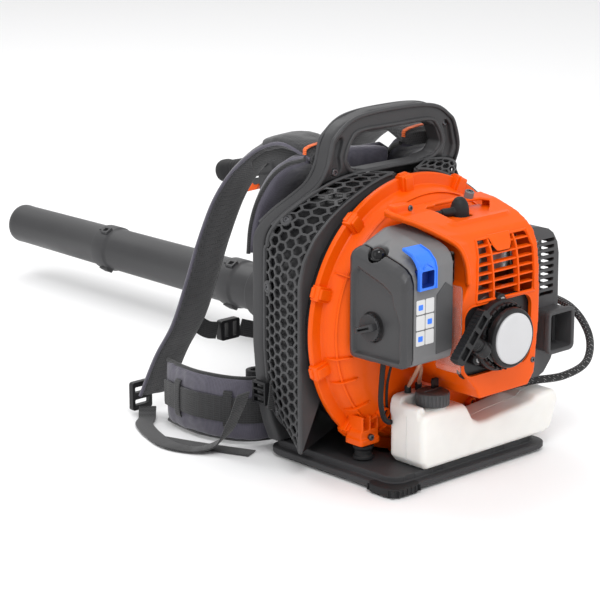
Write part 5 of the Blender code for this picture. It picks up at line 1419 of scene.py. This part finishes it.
def control_handle():
    outer = [(0.0446, 0.5), (0.045, 0.501), (0.045, 0.529), (0.0446, 0.53)]
    profile = outer + [(0.0374, 0.53), (0.0374, 0.5)]
    ring = turned("ring", profile, TUBE, (0, 1, 0), None, 96, hollow=True)
    stem = [(0.5, 0.128), (0.529, 0.128), (0.531, 0.19), (0.531, 0.278), (0.504, 0.284), (0.5, 0.2)]
    head = grip_loft("head", [(-0.0705, 0.01, 0.009, 0.002), (-0.0695, 0.0135, 0.0125, 0.002),
        (-0.066, 0.0168, 0.0158, 0.0), (-0.04, 0.018, 0.018, 0.0), (-0.0245, 0.017, 0.017, 0.0)])
    ribs = [block("rib", (0.212 - 0.0105, 0.504 + 0.0075 * i, 0.136), (0.212 + 0.0105, 0.5055 + 0.0075 * i,
        0.25)) for i in range(3)]
    pieces = [ring, prism("stem", stem, "yz", 0.203, 0.221), head] + ribs
    boss = [(-0.042, -0.01), (-0.0245, -0.01), (-0.0235, -0.03), (-0.036, -0.028)]
    pieces.append(loft("boss", [[tilt((x, y, z)) for y, z in boss] for x in (-0.0095, 0.0095)]))
    ear = [(-0.03, -0.0178), (-0.008, -0.0178), (-0.006, -0.024), (-0.01, -0.0286), (-0.03, -0.0272)]
    for inner, outer_x in ((-0.0093, -0.0068), (0.0068, 0.0093)):
        pieces.append(loft("ear", [[tilt((x, y, z)) for y, z in ear] for x in (inner, outer_x)]))
    clamp = moulded("handle_moulding", pieces, "frame", 0.001, 3)
    finish(clamp, "handle", "dark_plastic", "handle_clamp")
    knob = turned("clamp_knob", ((0.0002, 0.0), (0.0085, 0.0), (0.009, 0.001), (0.009, 0.008), (0.008, 0.0098),
        (0.0002, 0.01)), (0.2225, 0.515, 0.142), (1, 0, 0), "black", 40)
    finish(soften(knob, 0.0004), "handle", "black_plastic")
    stations = [(-0.0235, 0.015, 0.016, 0.0)]
    for i in range(9):
        y = -0.018 + 0.0068 * i
        stations += [(y, 0.0148, 0.0158, 0.0), (y + 0.0012, 0.0139, 0.015, 0.0), (y + 0.004, 0.0139, 0.015, 0.0),
            (y + 0.0052, 0.0148, 0.0158, 0.0)]
    stations += [(0.048, 0.0152, 0.016, 0.0), (0.053, 0.0176, 0.0178, 0.0), (0.056, 0.018, 0.0182, 0.0),
        (0.065, 0.018, 0.0182, 0.0), (0.069, 0.0168, 0.017, 0.0), (0.0702, 0.015, 0.0152, 0.0),
        (0.07, 0.0125, 0.0125, 0.0), (0.066, 0.0115, 0.0115, 0.0), (0.056, 0.011, 0.011, 0.0)]
    finish(soften(grip_loft("grip_sleeve", stations, "rubber"), 0.0, angle=45), "handle", "black_plastic", "grip")
    carry("throttle_trigger", "orange", 0.001)
    carry("cruise_lever", "dark", 0.0006)
    carry("stop_switch", "orange", 0.0004)
    screw("grip_screw", tilt((-0.0175, -0.05, 0.0)), GRIP_TURN @ Vector((-1, 0, 0)), 0.0036, "handle")


# -------------------------------------------------------------- harness

def crumple(thing, amount, scale, seed=0.0, stretch=(1, 1, 1)):
    """Small folds pressed into a soft mesh along its normals."""
    mesh = thing.data
    offsets = []
    for vertex in mesh.vertices:
        p = Vector((vertex.co.x * stretch[0], vertex.co.y * stretch[1], vertex.co.z * stretch[2])) * scale
        offsets.append(mnoise.noise(p + Vector((seed, seed * 2, -seed))) + 0.5
            * mnoise.noise(p * 2.3 + Vector((seed, 0, 7))))
    normals = [vertex.normal.copy() for vertex in mesh.vertices]
    for vertex, offset, normal in zip(mesh.vertices, offsets, normals):
        vertex.co += normal * offset * amount
    mesh.update()
    return thing


def pad_section(width, thick, steps=14, edge=0.32, channels=0):
    """Crowned section of a stuffed band whose edges are sewn thin; channels are sewn lines along it."""
    def height(t):
        crown = edge + (1 - edge) * (1 - abs(2 * t - 1) ** 2.6) ** 0.55 if 0 < t < 1 else edge
        for k in range(channels):
            centre = (k + 1) / (channels + 1)
            crown -= 0.3 * math.exp(-((t - centre) / 0.025) ** 2)
        return crown * thick / 2
    top = [(width * (i / steps - 0.5), height(i / steps)) for i in range(steps + 1)]
    return top + [(a, -b) for a, b in top[::-1]]


def soft_band(name, route, side, width, thick, mat, body="frame", count=90, channels=0, wrinkle=0.0006,
        piping=None, seed=0.0, replaces=(), taper=None, steps=20):
    def section(t):
        squeeze = 1.0
        if taper:
            squeeze = between(t, taper)
        return pad_section(width, thick * squeeze, steps, channels=channels)
    thing = strap(name, route, side, section, mat, count)
    for polygon in thing.data.polygons:
        polygon.use_smooth = True
    crumple(thing, wrinkle, 38.0, seed, (1.4, 1.4, 0.45))
    step = thing.modifiers.new("soft", "SUBSURF")
    step.levels = step.render_levels = 1
    finish(thing, body, "pad_fabric", *replaces)
    if piping:
        points = smooth(route, count)
        for number, sign in enumerate((-1, 1)):
            if piping == "one" and sign > 0:
                continue
            way = []
            for i, point in enumerate(points):
                tangent = (points[min(i + 1, count - 1)] - points[max(i - 1, 0)]).normalized()
                across = Vector(side(i / (count - 1)) if callable(side) else side)
                across = (across - tangent * across.dot(tangent)).normalized()
                way.append(point + across * sign * (width / 2))
            edge = pipe("%s_piping_%d" % (name, number + 1), way, 0.003, "webbing", 0, 10)
            finish(edge, body, "webbing")
    return thing


def webbing(name, route, side, width, thick, count=60, body="frame", mat="webbing", replaces=()):
    """Woven tape with rounded selvedges."""
    steps = 8
    top = [(width * (i / steps - 0.5), thick / 2 * (1.0 if 0 < i < steps else 0.55)) for i in range(steps + 1)]
    section = top + [(a, -b) for a, b in top[::-1]]
    thing = strap(name, route, side, section, mat, count)
    thing.data.shade_smooth()
    thing.data.set_sharp_from_angle(angle=math.radians(60))
    finish(thing, body, "webbing", *replaces)
    return thing


def buckle(name, centre, size, direction, up, mat="black", body="frame", replaces=()):
    """Three-bar slider."""
    x_axis = Vector(up).normalized()
    z_axis = Vector(direction).normalized()
    y_axis = z_axis.cross(x_axis).normalized()
    wide, tall, deep = size
    plate = prism("plate", rounded((0, 0), (tall, wide), 0.004, 5), "xy", -deep / 2, deep / 2)
    for x in (-tall * 0.22, tall * 0.22):
        boolean(plate, block("slot", (x - tall * 0.1, -wide * 0.36, -1), (x + tall * 0.1, wide * 0.36, 1), None,
            0.0015, "xy"))
    ridges = [block("ridge", (-tall * 0.44 + 0.0018 * i, -wide * 0.3, deep / 2 - 0.0004),
        (-tall * 0.44 + 0.0018 * i + 0.0009, wide * 0.3, deep / 2 + 0.0007)) for i in range(2)]
    thing = merged(name, [plate] + ridges, mat)
    turn = Matrix(((x_axis.x, y_axis.x, z_axis.x, centre[0]), (x_axis.y, y_axis.y, z_axis.y, centre[1]),
        (x_axis.z, y_axis.z, z_axis.z, centre[2]), (0, 0, 0, 1)))
    thing.data.transform(turn)
    finish(soften(thing, 0.0006), body, "black_plastic", *replaces)
    return thing


def harness():
    """Straps, belt, pads, webbing and buckles."""
    # back cushion, in three stuffed fields
    half = [(0.088, 0.112), (0.118, 0.118), (0.132, 0.14), (0.134, 0.18), (0.134, 0.262), (0.13, 0.292),
        (0.122, 0.325), (0.112, 0.358), (0.1, 0.386), (0.08, 0.398)]
    body = bmesh.new()
    grid, columns, rows = {}, 44, 52
    for face_side in (0, 1):
        for j in range(rows + 1):
            z = 0.112 + 0.286 * j / rows
            reach = between(z, [(0.1121, 0.088)] + [(b, a) for a, b in half[1:-1]] + [(0.398, 0.08)])
            for i in range(columns + 1):
                s = 2 * i / columns - 1
                x = s * reach
                edge = max(0.0, 1 - abs(s) ** 7) ** 0.5 * max(0.0, 1 - abs(2 * j / rows - 1) ** 9) ** 0.5
                puff = 0.0245 * edge
                for seam_z in (0.205, 0.3):
                    puff -= 0.0075 * math.exp(-((z - seam_z) / 0.005) ** 2) * edge
                puff -= 0.006 * math.exp(-((abs(x) - 0.045) / 0.005) ** 2) * edge
                puff += 0.0012 * mnoise.noise(Vector((x, z, 0.3)) * 40) * edge
                y = 0.1404 + (0.0004 if face_side == 0 else max(puff, 0.0012))
                grid[face_side, i, j] = body.verts.new((x, y, z))
    for j in range(rows):
        for i in range(columns):
            for face_side in (0, 1):
                quad = [grid[face_side, i, j], grid[face_side, i + 1, j], grid[face_side, i + 1, j + 1],
                    grid[face_side, i, j + 1]]
                body.faces.new(quad if face_side == 0 else quad[::-1])
    for i in range(columns):
        for j in (0, rows):
            body.faces.new([grid[0, i, j], grid[1, i, j], grid[1, i + 1, j], grid[0, i + 1, j]])
    for j in range(rows):
        for i in (0, columns):
            body.faces.new([grid[0, i, j], grid[0, i, j + 1], grid[1, i, j + 1], grid[1, i, j]])
    bmesh.ops.recalc_face_normals(body, faces=body.faces)
    mesh = bpy.data.meshes.new("back_cushion")
    body.to_mesh(mesh)
    body.free()
    cushion = put("back_cushion", mesh, "mesh")
    cushion.data.shade_smooth()
    finish(cushion, "frame", "mesh_fabric", "back_pad")
    rim = [(x, z) for x, z in half] + [(-x, z) for x, z in half[::-1]]
    way = []
    for a, b in zip(rim, rim[1:] + rim[:1]):
        way += [Vector((a[0] + (b[0] - a[0]) * k / 8, 0.1425, a[1] + (b[1] - a[1]) * k / 8)) for k in range(8)]
    finish(pipe("back_cushion_piping", way, 0.0028, "pad", 0, 10, closed=True), "frame", "pad_fabric")

    over = [(0.09, 0.072, 0.414), (0.095, 0.116, 0.428), (0.096, 0.15, 0.422), (0.097, 0.184, 0.404),
        (0.1, 0.222, 0.371), (0.106, 0.251, 0.328), (0.113, 0.275, 0.268), (0.12, 0.29, 0.216)]
    left = [(-x, y, z) for x, y, z in over] + [(-0.13, 0.311, 0.148), (-0.141, 0.338, 0.095),
        (-0.152, 0.362, 0.032)]
    right = over + [(0.122, 0.292, 0.15), (0.122, 0.288, 0.115)]
    thin = ((0.0, 0.55), (0.1, 0.9), (0.2, 1.0), (0.75, 1.0), (0.92, 0.7), (1.0, 0.35))
    for name, way, side, node in (("strap_left", left, (1, 0.1, 0), "shoulder_strap_left"),
            ("strap_right", right, (1, -0.1, 0), "shoulder_strap_right")):
        soft_band(name, way, side, 0.062, 0.015, "mesh", count=110, wrinkle=0.0005, seed=1.7,
            replaces=(node,), taper=thin)
        points = smooth(way, 110)
        for number, sign in enumerate((-1, 1)):
            edge = []
            for i, point in enumerate(points):
                tangent = (points[min(i + 1, 109)] - points[max(i - 1, 0)]).normalized()
                across = (Vector(side) - tangent * Vector(side).dot(tangent)).normalized()
                edge.append(point + across * sign * 0.0308)
            outer_side = sign < 0 if node.endswith("left") else sign > 0
            finish(pipe("%s_binding_%d" % (name, number + 1), edge, 0.0026, "pad" if outer_side else "webbing", 0,
                12), "frame", "pad_fabric" if outer_side else "webbing")
        # webbing sewn down the outer face of the pad
        lifted = []
        for i in range(4, 106, 3):
            tangent = (points[i + 1] - points[i - 1]).normalized()
            across = (Vector(side) - tangent * Vector(side).dot(tangent)).normalized()
            lifted.append(points[i] + tangent.cross(across) * -0.0082)
        webbing(name + "_webbing", lifted, side, 0.025, 0.002, 100)
        # padded roots beside the handle
        sign = -1 if node.endswith("left") else 1
        root = [(sign * x, y, z) for x, y, z in ((0.12, 0.156, 0.275), (0.118, 0.153, 0.315), (0.114, 0.143, 0.35),
            (0.108, 0.124, 0.382), (0.102, 0.102, 0.402), (0.096, 0.078, 0.412))]
        soft_band(name + "_yoke", root, (1, 0, 0), 0.066, 0.024, "pad", count=70, wrinkle=0.0013,
            seed=3.1 + sign, piping="both", taper=((0.0, 0.4), (0.15, 1.0), (0.85, 1.0), (1.0, 0.6)))
        cover = [(sign * x, y, z) for x, y, z in ((0.089, 0.068, 0.415), (0.093, 0.096, 0.426),
            (0.0955, 0.126, 0.429), (0.0965, 0.156, 0.421))]
        soft_band(name + "_collar", cover, (1, 0, 0), 0.064, 0.021, "mesh", count=50, wrinkle=0.001,
            seed=6.4 + sign)
        for number, (y, z) in enumerate(((0.074, 0.43),)):
            band_way = [(sign * (0.092 + 0.004 * number) + dx, y, z + dz)
                for dx, dz in ((-0.034, -0.01), (-0.03, -0.001), (0.0, 0.0026), (0.03, -0.001), (0.034, -0.01))]
            webbing("%s_accent_%d" % (name, number + 1), band_way, (0, 1, 0.15), 0.006, 0.0018, 30, mat="accent")
    # rolled cushion across the top, seen through the carrying handle
    roll = [(x, 0.112 + 0.012 * math.cos(x * 12), 0.39 - 1.8 * x * x) for x in (-0.066, -0.045, -0.02, 0.0, 0.02,
        0.045, 0.066)]
    soft_band("neck_roll", roll, (0, 0, 1), 0.034, 0.02, "pad", count=60, wrinkle=0.0012, seed=9.0)

    wing = [(0.162, 0.318, 0.05), (0.17, 0.28, 0.051), (0.172, 0.23, 0.052), (0.152, 0.176, 0.052),
        (0.11, 0.1525, 0.052), (0.04, 0.1495, 0.052)]
    curled = [(0.04, 0.1495, 0.052), (0.11, 0.1525, 0.052), (0.146, 0.176, 0.052), (0.152, 0.225, 0.052),
        (0.142, 0.262, 0.051), (0.118, 0.278, 0.05), (0.09, 0.274, 0.05)]
    belt = [(-x, y, z) for x, y, z in wing] + curled
    soft_band("waist_belt", belt, (0, 0, 1), 0.088, 0.0155, "pad", count=150, channels=2, wrinkle=0.0018,
        seed=5.5, piping="both", replaces=("hip_belt",), taper=((0.0, 0.5), (0.03, 1.0), (0.97, 1.0), (1.0, 0.5)),
        steps=26)
    points = smooth(belt, 150)
    outside = []
    for i in range(2, 74, 3):
        tangent = (points[i + 1] - points[i - 1]).normalized()
        outside.append(points[i] + tangent.cross(Vector((0, 0, 1))) * 0.0092)
    webbing("waist_webbing", outside, (0, 0, 1), 0.036, 0.0022, 90)
    for number, i in enumerate((14, 34, 54)):
        tangent = (points[i + 1] - points[i - 1]).normalized()
        out = tangent.cross(Vector((0, 0, 1)))
        base = points[i]
        keeper = [base + out * 0.0078 + Vector((0, 0, -0.027)), base + out * 0.0108 + Vector((0, 0, -0.021)),
            base + out * 0.0122 + Vector((0, 0, 0.0)), base + out * 0.0108 + Vector((0, 0, 0.021)),
            base + out * 0.0078 + Vector((0, 0, 0.027))]
        webbing("waist_keeper_%d" % (number + 1), keeper, tuple(tangent), 0.013, 0.0018, 24)
    across = [(-0.104, 0.3345, 0.146), (-0.088, 0.337, 0.128), (-0.071, 0.338, 0.117), (-0.054, 0.338, 0.1125)]
    webbing("chest_webbing_left", across, (0, 0, 1), 0.025, 0.0024, 40, replaces=("sternum_strap_left",))
    buckle("chest_buckle", (-0.032, 0.338, 0.111), (0.03, 0.036, 0.011), (0, -1, 0), (1, 0, 0),
        replaces=("sternum_buckle",))
    across = [(-0.009, 0.338, 0.109), (0.012, 0.334, 0.102), (0.034, 0.324, 0.096), (0.062, 0.31, 0.098),
        (0.09, 0.304, 0.122)]
    webbing("chest_webbing_right", across, (0, 0, 1), 0.025, 0.0024, 60, replaces=("sternum_strap_right",))
    buckle("side_buckle", (-0.16, 0.3845, 0.027), (0.036, 0.042, 0.0085), (0, 1, 0), (0, 0, 1),
        replaces=("adjuster_buckle_left",))
    loop = [(-0.16, 0.369, 0.012), (-0.168, 0.36, 0.008), (-0.18, 0.346, 0.0042), (-0.198, 0.33, 0.0032),
        (-0.218, 0.286, 0.0032), (-0.23, 0.235, 0.0032), (-0.216, 0.194, 0.0034), (-0.194, 0.168, 0.018),
        (-0.188, 0.146, 0.056), (-0.186, 0.13, 0.092)]
    points = smooth(loop, 110)
    tape = strap("adjuster_tape", loop, None, band(0.025, 0.0022), "webbing", 110)
    tape.data.shade_smooth()
    tape.data.set_sharp_from_angle(angle=math.radians(50))
    finish(tape, "frame", "webbing", "adjuster_webbing_left")
    tail = [(-0.222, 0.273, 0.0016), (-0.205, 0.225, 0.0016), (-0.186, 0.178, 0.0016), (-0.167, 0.135, 0.0016)]
    webbing("floor_tail", tail, (0.9, -0.35, 0), 0.025, 0.002, 40)
    wedge = [(-0.172, 0.075), (-0.158, 0.07), (-0.154, 0.112), (-0.166, 0.114)]
    wedge = loft("flange_strap", [[(x, y, z) for x, z in wedge] for y in (0.096, 0.0985)], "webbing")
    finish(soften(wedge, 0.0006), "frame", "webbing")
    ladder = merged("ladder", [block("bar", (-0.1735, 0.102, 0.078 + 0.0095 * i),
        (-0.1655, 0.126, 0.0815 + 0.0095 * i), None, 0.001) for i in range(4)] + [block("bar", (-0.1735, y, 0.078),
        (-0.1655, y + 0.003, 0.11), None, 0.001) for y in (0.101, 0.124)], "black")
    finish(soften(ladder, 0.0008), "frame", "black_plastic")
    coil = []
    for i in range(70):
        a = i * 0.3
        r = 0.0155 - 0.00011 * i
        coil.append(Vector((-0.112 + r * math.cos(a), 0.188 + 0.8 * r * math.sin(a), 0.087)))
    tape = strap("rolled_webbing", coil, (0, 0, 1), band(0.024, 0.0016), "webbing", 160)
    tape.data.shade_smooth()
    tape.data.set_sharp_from_angle(angle=math.radians(50))
    finish(tape, "frame", "webbing")
    lifter = [(-0.112, 0.052, 0.414), (-0.118, 0.09, 0.418), (-0.12, 0.14, 0.412), (-0.118, 0.185, 0.39)]
    webbing("load_lifter", lifter, (0.2, 0.3, 1), 0.02, 0.002, 50)


def carried():
    carry("fan_housing_rear", "black", 0.0008)
    carry("impeller", "black", 0.0005)
    for node in ("crankshaft", "throttle_lever"):
        carry(node, "steel", 0.0004)
    for node in ("flywheel", "crankcase", "cylinder", "carburettor"):
        carry(node, "alloy", 0.0004)
    carry("starter_pulley", "dark", 0.0003)
    carry("air_filter_element", "paper", 0.001)
    carry("spark_plug", "label", 0.0003)


# ------------------------------------------------------------ build

studio()
cords()
base_plate()
back_frame()
honeycomb("panel_left", 5.0, 150.0, -1, "grille_left")
honeycomb("panel_right", 5.0, 92.0, 1, "grille_right")
fan_housing()
engine_shroud()
boot()
starter()
exhaust()
air_filter()
choke()
fuel_tank()
blower_tube()
control_handle()
harness()
carried()
